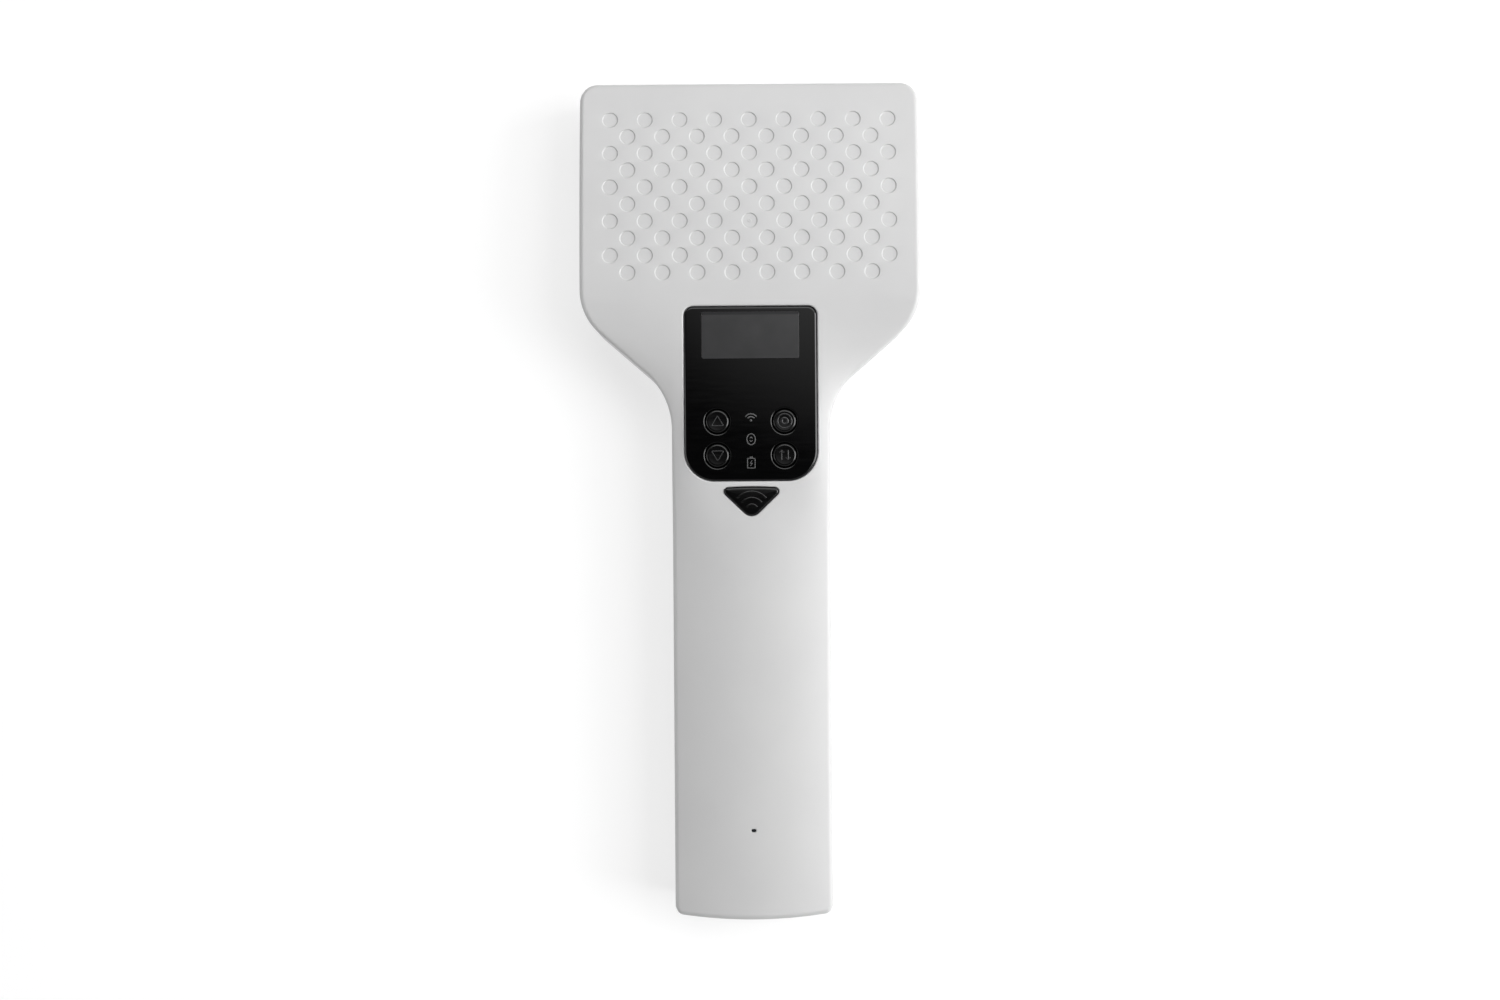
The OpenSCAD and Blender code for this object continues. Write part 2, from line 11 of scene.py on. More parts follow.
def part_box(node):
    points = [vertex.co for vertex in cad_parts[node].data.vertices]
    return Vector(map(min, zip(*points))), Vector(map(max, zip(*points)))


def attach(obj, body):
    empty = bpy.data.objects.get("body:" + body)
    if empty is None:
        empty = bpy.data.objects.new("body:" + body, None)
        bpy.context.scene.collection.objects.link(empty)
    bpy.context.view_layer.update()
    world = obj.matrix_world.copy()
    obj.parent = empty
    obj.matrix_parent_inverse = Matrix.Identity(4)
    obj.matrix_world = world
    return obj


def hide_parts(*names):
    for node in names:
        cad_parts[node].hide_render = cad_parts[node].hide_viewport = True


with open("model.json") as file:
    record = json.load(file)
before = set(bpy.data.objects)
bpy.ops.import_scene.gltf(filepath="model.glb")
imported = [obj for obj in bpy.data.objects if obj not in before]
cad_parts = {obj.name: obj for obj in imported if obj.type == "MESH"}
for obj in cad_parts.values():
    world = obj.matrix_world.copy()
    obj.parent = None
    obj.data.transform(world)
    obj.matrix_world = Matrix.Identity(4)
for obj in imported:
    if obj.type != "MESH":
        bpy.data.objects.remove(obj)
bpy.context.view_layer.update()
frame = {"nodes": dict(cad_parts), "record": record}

MM = 0.001


def box_mm(node):
    """Lowest and highest corner of a CAD node, in millimetres."""
    low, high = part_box(node)
    return np.array(low) / MM, np.array(high) / MM


# ---------- sizes, in millimetres ----------

shell_low, shell_high = box_mm("front_shell")
panel_low, panel_high = box_mm("control_panel")
window_low, window_high = box_mm("display_window")
scan_low, scan_high = box_mm("scan_key")
pipe_low, pipe_high = box_mm("light_pipe")

# plan outline
TIP_Y, END_Y = shell_high[1], shell_low[1]
HEAD_HALF, GRIP_HALF = shell_high[0], 25.5
TIP_CORNER, END_CORNER = 5.8, 3.0
SHOULDER_Y, SHOULDER_R = 67.5, 18.5
NECK_R, TURN = 24.3, 49.0
BOW_R = 300.0
BOW_Y = END_Y + BOW_R

# heights
PROUD = 0.1  # of the panel over the front face
FACE_Z = panel_high[2] - PROUD
PANEL_Z = FACE_Z + PROUD
SEAM_Z = box_mm("rear_shell")[1][2]
SEAT_Z, TRAY_Z = FACE_Z - 1.6, FACE_Z - 3.4
PANEL_UNDER = SEAT_Z + 0.2
FLOOR_Z = 2.4
WALL = 2.2
BACK_IN, BACK_UP = 3.4, 3.74  # the back edge's rounding, across and up

# curves of the front face
CROWN_DROP, CROWN_LIMIT = 3.5, 26
CROWN_R = (GRIP_HALF**2 + CROWN_DROP**2) / (2 * CROWN_DROP)
CROWN_START, CROWN_RUN = 14.0, 32.0
DROOP_Y, DROOP_R = 60.0, 500.0
NECK_FLAT, NECK_BEND = 14.0, 0.0118
NECK_FADE = [64, 58, 51, 45, 37, 24], [0, 0.07, 0.2, 0.38, 0.68, 1]  # height, share
FALL, FALL_IN, FALL_START, FALL_RUN = 0.45, 6.0, 60, 16
DEEP = 99.0  # further inside the outline than the fall reaches

# panel, keys, light opening and screws
PANEL_W, PANEL_R, PANEL_LOW_R = panel_high[0], 3.0, 9.6
PANEL_CORNERS = [
    (PANEL_W - PANEL_R, panel_high[1] - PANEL_R, PANEL_R),
    (-PANEL_W + PANEL_R, panel_high[1] - PANEL_R, PANEL_R),
    (-PANEL_W + PANEL_LOW_R, panel_low[1] + PANEL_LOW_R, PANEL_LOW_R),
    (PANEL_W - PANEL_LOW_R, panel_low[1] + PANEL_LOW_R, PANEL_LOW_R),
]
PANEL_MID = np.array([0.0, (panel_low[1] + panel_high[1]) / 2])
WINDOW_R = 0.52
WINDOW_X, WINDOW_Y = window_high[0] - WINDOW_R, (window_low[1] + window_high[1]) / 2
WINDOW_UP = (window_high[1] - window_low[1]) / 2 - WINDOW_R
WINDOW_CORNERS = [
    (sx * WINDOW_X, WINDOW_Y + sy * WINDOW_UP, WINDOW_R)
    for sx, sy in ((1, 1), (-1, 1), (-1, -1), (1, -1))
]
SCAN_CORNERS = [
    (7.5, 2.5, 1.4), (3.9, 2.68, 1.4), (0.0, 2.74, 1.4), (-3.9, 2.68, 1.4), (-7.5, 2.5, 1.4),
    (0.0, -2.05, 3.35),
]
SCAN_MID = np.array([0.0, 0.4])
SCAN_GAP = 0.28
LED_HALF, LED_R = 0.27, 0.53
LED_MID = np.array([0.0, (pipe_low[1] + pipe_high[1]) / 2])
KEYS = {
    name: sum(box_mm(name)) / 2 for name in ("key_up", "key_down", "key_power", "key_menu")
}
KEY_LOW, KEY_TOP = box_mm("key_up")[0][2], box_mm("key_up")[1][2]
SCREWS = [
    (side * x, y)
    for x, y in ((29, 108), (32, 58.5), (19, -26.5), (19, -118)) for side in (-1, 1)
]

DIMPLE_ROWS, DIMPLE_COLUMNS = 10, 9
DIMPLE_PITCH, DIMPLE_ROW_PITCH, DIMPLE_FIRST_Y = 11.2, 5.55, 72.8
DIMPLE_PROFILE = [  # radius, depth
    (2.64, 0.0), (2.56, 0.008), (2.505, 0.035), (2.46, 0.1), (2.40, 0.2),
    (2.35, 0.262), (2.28, 0.292), (2.15, 0.30), (1.1, 0.30),
]
DIMPLE_DEPTH = DIMPLE_PROFILE[-1][1]
GATE_ROW = 3  # the dimple with the moulding mark, counted up the middle line


# ---------- building surfaces ----------

class Net:
    """Points and faces of one piece, in millimetres."""

    def __init__(self):
        self.points, self.faces, self.flat, self.count = [], [], [], 0

    def put(self, points):
        """Adds points in their own arrangement and returns their numbers in the same one."""
        points = np.asarray(points, float)
        ids = self.count + np.arange(points[..., 0].size).reshape(points.shape[:-1])
        self.points.append(points.reshape(-1, 3))
        self.count += ids.size
        return ids

    def add(self, faces, flat=False):
        """Adds faces given by the numbers of their points; flat faces are shaded without smoothing."""
        faces = faces.reshape(-1, faces.shape[-1])
        self.faces.append(faces)
        self.flat.append(np.full(len(faces), flat))

    def sheet(self, ids, keep):
        """Four-sided faces between neighbouring rows and columns, except where keep is False."""
        quads = np.stack([ids[:-1, :-1], ids[1:, :-1], ids[1:, 1:], ids[:-1, 1:]], -1)
        self.add(quads[keep])

    def rings(self, loops, flat=False):
        """Four-sided faces between each closed loop and the next."""
        for a, b in zip(loops, loops[1:]):
            self.add(np.stack([a, np.roll(a, -1, -1), np.roll(b, -1, -1), b], -1), flat)

    def fan(self, loop, centre):
        """Triangles from a closed loop to one point in its middle."""
        middle = np.broadcast_to(centre[..., None], loop.shape)
        self.add(np.stack([loop, np.roll(loop, -1, -1), middle], -1))

    def lid(self, outer, holes=()):
        """A level face inside one closed loop and around others."""
        points = np.concatenate(self.points)
        loops = [outer, *holes]
        triangles = tessellate_polygon([[Vector(p) for p in points[loop]] for loop in loops])
        self.add(np.concatenate(loops)[np.array(triangles)], flat=True)


def make_piece(name, net, material, body, slot, *replaced):
    """One object from a net: outward faces, smooth except where the net says flat."""
    mesh = bpy.data.meshes.new(name)
    faces = [face for block in net.faces for face in block.tolist()]
    mesh.from_pydata((np.concatenate(net.points) * MM).tolist(), [], faces)
    mesh.polygons.foreach_set("use_smooth", ~np.concatenate(net.flat))
    work = bmesh.new()
    work.from_mesh(mesh)
    bmesh.ops.recalc_face_normals(work, faces=work.faces)
    work.to_mesh(mesh)
    work.free()
    mesh.materials.append(material)
    piece = bpy.data.objects.new(name, mesh)
    bpy.context.scene.collection.objects.link(piece)
    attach(piece, body)
    if replaced:
        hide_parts(*replaced)


def smooth(t):
    """0 below 0, 1 above 1, and 3t^2 - 2t^3 between."""
    t = np.clip(t, 0, 1)
    return t * t * (3 - 2 * t)


def circle(n, start=0.0):
    """Unit vectors at n equal angles, anticlockwise from start degrees."""
    a = np.radians(start) + 2 * np.pi * np.arange(n) / n
    return np.stack([np.cos(a), np.sin(a)], -1)


def lengths_along(path):
    """Length from a path's start to each of its points."""
    return np.concatenate([[0], np.cumsum(np.linalg.norm(np.diff(path, axis=0), axis=1))])


def columns_at(at, known, table, **how):
    """Both columns of a table of pairs, read off between its known places."""
    return np.stack([np.interp(at, known, table[:, k], **how) for k in (0, 1)], -1)


def around(corners, n=3000, arc_points=0):
    """The outline that runs round circles (x, y, r) given anticlockwise, with outward normals: n
    points at equal steps of length, or arc_points on each arc and none between. Straight edges touch
    two circles; their normal turns acos((r1 - r2) / distance) off the line."""
    points, normals = [], []
    count = len(corners)

    def normal_angle(a, b):
        span = math.hypot(b[0] - a[0], b[1] - a[1])
        return math.atan2(b[1] - a[1], b[0] - a[0]) - math.acos((a[2] - b[2]) / span)

    for i, c in enumerate(corners):
        start = normal_angle(corners[i - 1], c)
        sweep = (normal_angle(c, corners[(i + 1) % count]) - start) % (2 * math.pi)
        a = start + np.linspace(0, sweep, arc_points or 200)
        outward = np.stack([np.cos(a), np.sin(a)], -1)
        points.append(np.array(c[:2]) + c[2] * outward)
        normals.append(outward)
    points, normals = np.concatenate(points), np.concatenate(normals)
    if arc_points:
        return points, normals
    closed, closed_normals = np.vstack([points, points[:1]]), np.vstack([normals, normals[:1]])
    length = lengths_along(closed)
    at = np.linspace(0, length[-1], n, endpoint=False)
    return columns_at(at, length, closed), columns_at(at, length, closed_normals)


def facing(outline, centre, points):
    """Where rays from centre through points cross an outline, and the outline's normals there."""
    curve, normals = outline
    angle = np.arctan2(curve[:, 1] - centre[1], curve[:, 0] - centre[0])
    want = np.arctan2(points[..., 1] - centre[1], points[..., 0] - centre[0])
    return tuple(columns_at(want, angle, table, period=2 * np.pi) for table in (curve, normals))


def raised(xy, z):
    """Plan points with a height, which may be one number."""
    return np.concatenate([xy, np.broadcast_to(z, xy.shape[:-1])[..., None]], -1)


def block_edge(ids, r0, r1, c0, c1):
    """Numbers along the edge of a block of a grid, anticlockwise from its top right corner, with the
    rows running down."""
    return np.concatenate([
        ids[r0, c0 + 1:c1 + 1][::-1], ids[r0:r1, c0], ids[r1, c0:c1], ids[r0 + 1:r1 + 1, c1][::-1]
    ])


# ---------- the casing's outline and front face ----------

LEAST_R = 0.5  # of the outer corners on the inside of the wall
SHOULDER_X = HEAD_HALF - SHOULDER_R
NECK_X = GRIP_HALF + NECK_R
COS, SIN = math.cos(math.radians(TURN)), math.sin(math.radians(TURN))
SLOPE_X = (SHOULDER_X + SHOULDER_R * COS) - (NECK_X - NECK_R * COS)
NECK_Y = SHOULDER_Y - SHOULDER_R * SIN - SLOPE_X * COS / SIN - NECK_R * SIN


def end_corner(inset):
    """Centre, radius and last angle of the corner between the grip's side and the bowed end."""
    r = np.maximum(END_CORNER - inset, LEAST_R)
    x = GRIP_HALF - inset - r
    y = BOW_Y - np.sqrt((BOW_R - inset - r) ** 2 - x * x)
    return x, y, r, np.degrees(np.arctan2(BOW_Y - y, x))


def outline_at(part, share, inset):
    """Right half of the casing's outline moved inwards by inset. part numbers its nine lines and arcs
    from the tip to the end, and share runs 0 to 1 along each: a line is a + (b - a) share, an arc is
    centre + r (cos, sin)."""
    d = np.broadcast_to(np.asarray(inset, float), part.shape)
    tip_r = np.maximum(TIP_CORNER - d, LEAST_R)
    ex, ey, er, ea = end_corner(d)
    side = HEAD_HALF - d
    corner_x, corner_y = side - tip_r, TIP_Y - d - tip_r
    shoulder_r, neck_r = SHOULDER_R - d, NECK_R + d
    lines = {
        0: (0 * d, TIP_Y - d, corner_x, TIP_Y - d),
        2: (side, corner_y, side, SHOULDER_Y + 0 * d),
        4: (SHOULDER_X + shoulder_r * COS, SHOULDER_Y - shoulder_r * SIN,
            NECK_X - neck_r * COS, NECK_Y + neck_r * SIN),
        6: (GRIP_HALF - d, NECK_Y + 0 * d, GRIP_HALF - d, ey),
    }
    arcs = {
        1: (corner_x, corner_y, tip_r, 90.0, 0.0),
        3: (SHOULDER_X, SHOULDER_Y, shoulder_r, 0.0, -TURN),
        5: (NECK_X, NECK_Y, neck_r, 180.0 - TURN, 180.0),
        7: (ex, ey, er, 0.0, -ea),
        8: (0.0, BOW_Y, BOW_R - d, -ea, -90.0),
    }
    x, y = np.zeros(part.shape), np.zeros(part.shape)
    for k, (ax, ay, bx, by) in lines.items():
        x = np.where(part == k, ax + (bx - ax) * share, x)
        y = np.where(part == k, ay + (by - ay) * share, y)
    for k, (cx, cy, r, a0, a1) in arcs.items():
        a = np.radians(a0 + (a1 - a0) * share)
        x = np.where(part == k, cx + r * np.cos(a), x)
        y = np.where(part == k, cy + r * np.sin(a), y)
    return np.stack([x, y], -1)


def part_lengths():
    """Lengths of the nine lines and arcs of the outline."""
    ends = [outline_at(np.array([k, k]), np.array([0.0, 1.0]), 0.0) for k in range(9)]
    chord = np.array([np.linalg.norm(e[1] - e[0]) for e in ends])
    ea = end_corner(0.0)[3]
    turns = {
        1: (TIP_CORNER, 90), 3: (SHOULDER_R, TURN), 5: (NECK_R, TURN), 7: (END_CORNER, ea),
        8: (BOW_R, 90 - ea),
    }
    for k, (r, angle) in turns.items():
        chord[k] = r * math.radians(angle)
    return chord


PART_LENGTH = part_lengths()
PART_START = np.concatenate([[0], np.cumsum(PART_LENGTH)])


def on_outline(length, side, inset):
    """Points of the whole outline at a length from the tip's middle, moved inwards; side is +1 for
    the right half and -1 for the left."""
    part = np.clip(np.searchsorted(PART_START, length, side="right") - 1, 0, 8)
    share = np.clip((length - PART_START[part]) / PART_LENGTH[part], 0, 1)
    xy = outline_at(part, share, inset)
    return xy * np.stack([side, np.ones_like(side)], -1)


EDGE_LENGTHS = np.linspace(0, PART_START[-1], 900)
EDGE = on_outline(EDGE_LENGTHS, np.ones_like(EDGE_LENGTHS), 0.0)


def depth_inside(xy):
    """Distance from plan points to the casing's outline, measured in blocks of points to save memory."""
    flat = np.abs(xy.reshape(-1, 2)) * [1, 0] + xy.reshape(-1, 2) * [0, 1]
    blocks = [
        np.sqrt(((b[:, None, :] - EDGE[None]) ** 2).sum(-1)).min(1)
        for b in np.array_split(flat, max(1, len(flat) // 4000))
    ]
    return np.concatenate(blocks).reshape(xy.shape[:-1])


def front_height(xy, inside=None):
    """Height of the front face: level, less a large cylinder's droop towards the tip, less a crown of
    one radius across the grip. Beside the panel the crown starts further out, k (x - x0)^2 and then
    straight, and fades towards the head; the last few millimetres there fall a little more, by
    (1 - d/w)^2, d being the distance inside the outline."""
    x, y = np.abs(xy[..., 0]), xy[..., 1]
    inside = depth_inside(xy) if inside is None else inside
    droop = DROOP_R - np.sqrt(DROOP_R**2 - np.maximum(y - DROOP_Y, 0) ** 2)
    grip = smooth((CROWN_START - y) / CROWN_RUN)
    crown = CROWN_R - np.sqrt(CROWN_R**2 - np.minimum(x, CROWN_LIMIT) ** 2)
    bend = np.clip(x - NECK_FLAT, 0, GRIP_HALF - NECK_FLAT)
    straight = np.maximum(x - GRIP_HALF, 0)
    neck = NECK_BEND * (bend**2 + 2 * (GRIP_HALF - NECK_FLAT) * straight)
    neck *= (1 - grip) * np.interp(-y, -np.array(NECK_FADE[0]), NECK_FADE[1])
    fall = FALL * smooth((FALL_START - y) / FALL_RUN) * (1 - grip)
    fall *= np.clip(1 - inside / FALL_IN, 0, 1) ** 2
    return FACE_Z - droop - crown * grip - neck - fall


# ---------- the front face's grid ----------

GRID_INSET = 2.4
HALF_COLUMNS, EVEN_COLUMNS = 56, 52
PANEL_COLUMN, SCAN_COLUMN, LED_COLUMN = 24, 12, 5
DIMPLE_CELLS = 12  # columns from one dimple to the next
CELL = DIMPLE_PITCH / DIMPLE_CELLS
EVEN_START, EVEN_RUN = -8, 24  # where the columns begin to be spread evenly across the grip
DIMPLE_TOP = DIMPLE_FIRST_Y + (DIMPLE_ROWS - 0.5) * DIMPLE_ROW_PITCH
DIMPLE_BOTTOM = DIMPLE_FIRST_Y - 0.5 * DIMPLE_ROW_PITCH
GRIP_LOW = 118.0
ZONES = [  # the height where each zone ends, and its rows
    (DIMPLE_TOP, 4), (DIMPLE_BOTTOM, 60), (63.0, 6), (5.0, 60), (-6.6, 12),
    (-40.0, 21), (LED_MID[1] + 1.5, 30), (LED_MID[1] - 1.5, 6), (-GRIP_LOW, 6),
    (END_Y + GRID_INSET, 8),
]


def grid_rows():
    """Heights of the grid's rows on the middle line, and the row where each zone starts."""
    rows, starts = [TIP_Y - GRID_INSET], []
    for y, n in ZONES:
        starts.append(len(rows) - 1)
        rows += list(np.linspace(rows[-1], y, n + 1)[1:])
    return np.array(rows), starts


ROW_Y, ZONE_ROW = grid_rows()
LAST = len(ROW_Y) - 1
COLUMN = np.arange(-HALF_COLUMNS, HALF_COLUMNS + 1)
COLUMN_X = np.concatenate([np.arange(HALF_COLUMNS - 1) * CELL, [51.35, HEAD_HALF - GRID_INSET]])
CORNER_MID = PART_START[1] + PART_LENGTH[1] / 2
END_CORNER_MID = PART_START[7] + PART_LENGTH[7] / 2
SIDE_LENGTH = np.interp(
    -ROW_Y,
    [-ROW_Y[0], -DIMPLE_TOP, -SHOULDER_Y, -NECK_Y, GRIP_LOW, -ROW_Y[-1]],
    [CORNER_MID, PART_START[2] + TIP_Y - TIP_CORNER - DIMPLE_TOP, PART_START[3], PART_START[6],
     PART_START[6] + NECK_Y + GRIP_LOW, END_CORNER_MID],
)
TIP_LENGTH = np.interp(
    np.abs(COLUMN), [0, EVEN_COLUMNS, HALF_COLUMNS], [0, EVEN_COLUMNS * CELL, CORNER_MID]
)
BOW_LENGTH = PART_START[9] - (PART_START[9] - END_CORNER_MID) * np.abs(COLUMN) / HALF_COLUMNS
SIGN = np.where(COLUMN < 0, -1.0, 1.0)
LOOP_LENGTH = np.concatenate(
    [TIP_LENGTH, SIDE_LENGTH[1:], BOW_LENGTH[:-1][::-1], SIDE_LENGTH[1:-1][::-1]]
)
LOOP_SIDE = np.concatenate([SIGN, np.ones(LAST), SIGN[:-1][::-1], -np.ones(LAST - 1)])
BOW_MIDDLE = len(COLUMN) + LAST + HALF_COLUMNS - 1


def loop_edge(ids):
    """Numbers round the edge of the grid: tip left to right, right side down, end right to left, left
    side up."""
    return np.concatenate([ids[0], ids[1:, -1], ids[-1, :-1][::-1], ids[1:-1, 0][::-1]])


def ring(inset, z):
    """One loop round the casing at an inset and a height; either may be an array."""
    return raised(on_outline(LOOP_LENGTH, LOOP_SIDE, inset), z)


def face_grid():
    """Plan points of the front face's grid. Columns keep the dimples' and the panel's straight lines
    near the middle, x = k cell, stretch evenly from there to the outline, and become
    x = edge k / HALF_COLUMNS along the grip."""
    k = np.abs(COLUMN)
    side = on_outline(SIDE_LENGTH, np.ones(LAST + 1), GRID_INSET)
    start, end = COLUMN_X[PANEL_COLUMN], COLUMN_X[-1]
    t = np.clip((COLUMN_X[k] - start) / (end - start), 0, 1)
    straight_x = np.where(k <= PANEL_COLUMN, COLUMN_X[k], start + t * (side[:, :1] - start))
    straight_y = ROW_Y[:, None] + t * (side[:, 1:] - ROW_Y[:, None])
    even_x = side[:, :1] * k / HALF_COLUMNS
    even_y = ROW_Y[:, None] + (side[:, 1:] - ROW_Y[:, None]) * k / HALF_COLUMNS
    even = smooth((EVEN_START - ROW_Y) / EVEN_RUN)[:, None]
    x = straight_x + (even_x - straight_x) * even
    y = straight_y + (even_y - straight_y) * even
    grid = np.stack([x * SIGN, y], -1)
    bow = on_outline(BOW_LENGTH, SIGN, GRID_INSET)
    first = ZONE_ROW[-1]
    t = ((ROW_Y[first] - ROW_Y[first:]) / (ROW_Y[first] - ROW_Y[-1]))[:, None, None]
    grid[first:] = grid[first] * (1 - t) + bow * t
    grid[:, -1] = side
    grid[:, 0] = side * [-1, 1]
    grid[0] = on_outline(TIP_LENGTH, SIGN, GRID_INSET)
    grid[-1] = bow
    return grid


def open_blocks(keep, blocks):
    """Marks blocks of cells as left out."""
    for r0, r1, c0, c1 in blocks:
        keep[r0:r1, c0:c1] = False


MID = HALF_COLUMNS
PANEL_BLOCK = (ZONE_ROW[3], ZONE_ROW[4], MID - PANEL_COLUMN, MID + PANEL_COLUMN)
SCAN_BLOCK = (ZONE_ROW[4], ZONE_ROW[5], MID - SCAN_COLUMN, MID + SCAN_COLUMN)
LED_BLOCK = (ZONE_ROW[7], ZONE_ROW[8], MID - LED_COLUMN, MID + LED_COLUMN)
DIMPLES = [
    (row, (i - (count - 1) / 2) * DIMPLE_CELLS)
    for row in range(DIMPLE_ROWS)
    for count in [DIMPLE_COLUMNS - 1 + row % 2]
    for i in range(count)
]


def dimple_blocks():
    """Twelve by six cells of the grid round each dimple."""
    half = DIMPLE_CELLS // 2
    return [
        (ZONE_ROW[1] + half * (DIMPLE_ROWS - 1 - row), ZONE_ROW[1] + half * (DIMPLE_ROWS - row),
         MID + int(k) - half, MID + int(k) + half)
        for row, k in DIMPLES
    ]


def add_dimples(net, ids):
    """Round recesses: rings of radius r round each centre, at the face's height less the recess's
    depth at r."""
    edge = np.stack([block_edge(ids, *b) for b in dimple_blocks()])
    centre = np.array([[k * CELL, DIMPLE_FIRST_Y + row * DIMPLE_ROW_PITCH] for row, k in DIMPLES])
    spokes = circle(edge.shape[1], 30.0)
    loops = [edge]
    for r, depth in DIMPLE_PROFILE:
        xy = centre[:, None, :] + r * spokes
        loops.append(net.put(raised(xy, front_height(xy, DEEP) - depth)))
    net.rings(loops)
    net.fan(loops[-1], net.put(raised(centre, front_height(centre, DEEP) - DIMPLE_DEPTH)))


def add_opening(net, edge, outline, centre, steps):
    """Rings from a block's edge to an opening. Each step is (distance outside the opening's outline,
    height, 1 if the height counts from the front face and 0 if it is a level)."""
    points = np.concatenate(net.points)[edge][:, :2]
    curve, normals = facing(outline, centre, points)
    loops = [edge]
    for out, z, follow in steps:
        xy = curve + normals * out
        height = front_height(xy, DEEP) if follow else 0.0
        loops.append(net.put(raised(xy, height + z)))
    net.rings(loops)
    return loops[-1]


PANEL_GAP = 0.15
LIP = [(0.55, 0.0, 1), (0.36, -0.005, 1), (0.12, -0.09, 1), (0.02, -0.22, 1), (0.0, -0.4, 1)]
TRAY_IN = -2.8
OPENINGS = (  # block, outline, middle, steps
    (PANEL_BLOCK, around([(x, y, r + PANEL_GAP) for x, y, r in PANEL_CORNERS]), PANEL_MID,
     [*LIP, (0.0, SEAT_Z, 0), (TRAY_IN, SEAT_Z, 0), (TRAY_IN, TRAY_Z, 0)]),
    (SCAN_BLOCK, around(SCAN_CORNERS), SCAN_MID, [*LIP, (0.0, TRAY_Z, 0)]),
    (LED_BLOCK, around([(LED_HALF, LED_MID[1], LED_R), (-LED_HALF, LED_MID[1], LED_R)]), LED_MID,
     [(0.4, 0.0, 1), (0.28, -0.01, 1), (0.1, -0.08, 1), (0.0, -0.2, 1), (0.0, FACE_Z - WALL, 0)]),
)

TONGUE_Z = 13.6  # the front half's lowest edge, inside the rear half's rim
FRONT_RIM = (  # inset, height: tongue, joint line and the start of the side wall
    (WALL, TONGUE_Z), (1.35, TONGUE_Z), (1.3, SEAM_Z + 0.06), (0.26, SEAM_Z + 0.06),
    (0.07, SEAM_Z + 0.13), (0.0, SEAM_Z + 0.33), (0.0, 17.5),
)
HEAD_EDGE_R, EDGE_MORE, EDGE_START, EDGE_RUN = 1.5, 0.5, 20, 30


def front_shell():
    """The white front half: rim and tongue, side wall, rounded edge, front face with its dimples and
    openings, and the inside. The rounded edge is a true arc of radius r between the wall and the
    face's own slope m at each point: its centre lies r inside and at height
    f + m r - r sqrt(1 + m^2). The radius grows from the head to the grip."""
    net = Net()
    plan = face_grid()
    face = front_height(plan)
    ids = net.put(raised(plan, face))
    loop = loop_edge(ids)
    keep = np.ones((LAST, 2 * HALF_COLUMNS), bool)
    blocks = [block for block, *_ in OPENINGS]
    open_blocks(keep, [*dimple_blocks(), *blocks])
    net.sheet(ids, keep)
    add_dimples(net, ids)

    # rounded edge
    base = ring(0.0, 0.0)
    r = HEAD_EDGE_R + EDGE_MORE * smooth((EDGE_START - base[:, 1]) / EDGE_RUN)
    at = lambda d: front_height(on_outline(LOOP_LENGTH, LOOP_SIDE, d), np.broadcast_to(d, r.shape))
    m = (at(0.7 * r + 0.1) - at(0.7 * r - 0.1)) / 0.2
    slope = np.arctan(m)
    touch = r * (1 - np.sin(slope))
    centre_z = at(touch) - m * touch + m * r - r * np.sqrt(1 + m * m)
    loops = [net.put(ring(inset, z)) for inset, z in FRONT_RIM]
    for share in np.linspace(0, 1, 9):
        a = share * (np.pi / 2 - slope)
        loops.append(net.put(ring(r - r * np.cos(a), centre_z + r * np.sin(a))))
    for share in (0.33, 0.67):
        d = touch + (GRID_INSET - touch) * share
        loops.append(net.put(ring(d, at(d))))
    loops.append(loop)
    net.rings(loops)

    # inside
    ceiling = np.minimum(face, FACE_Z) - WALL
    inner = net.put(raised(plan, ceiling))
    keep = np.ones((LAST, 2 * HALF_COLUMNS), bool)
    open_blocks(keep, blocks)
    net.sheet(inner, keep)
    inner_loop = loop_edge(inner)
    top = np.concatenate(net.points)[inner_loop][:, 2]
    net.rings([inner_loop, net.put(ring(WALL, top - 0.3)), loops[0]])

    for block, outline, centre, steps in OPENINGS:
        last = add_opening(net, block_edge(ids, *block), outline, centre, steps)
        net.rings([last, block_edge(inner, *block)])
    return net


SOCKET_Z = sum(box_mm("usb_socket"))[2] / 2
SOCKET_CORNERS = [(2.9, SOCKET_Z, 1.8), (-2.9, SOCKET_Z, 1.8)]
SOCKET_COLUMNS = 14  # half the wall's columns left out round the socket
WALL_LEVELS = [SOCKET_Z + dz for dz in (-2.4, -1.6, -0.8, 0.0, 0.8, 1.6, 2.1)]
REAR_RIM = (  # inset, height
    (0.0, SEAM_Z - 0.3), (0.07, SEAM_Z - 0.12), (0.26, SEAM_Z - 0.06), (1.2, SEAM_Z - 0.06),
    (1.2, 13.0), (WALL, 13.0),
)
REAR_FLOOR = (WALL, 6.0), (2.6, 4.4), (3.4, 3.2), (4.6, FLOOR_Z)  # inset, height
POCKET = (2.85, 0.0), (2.6, 0.25), (2.6, 4.0)  # radius, height
POST = (3.1, FLOOR_Z - 0.2), (3.1, 14.5), (2.8, 14.8)  # radius, height
LABEL_GAP, LABEL_R, LABEL_DEEP = 0.3, 2, 0.4


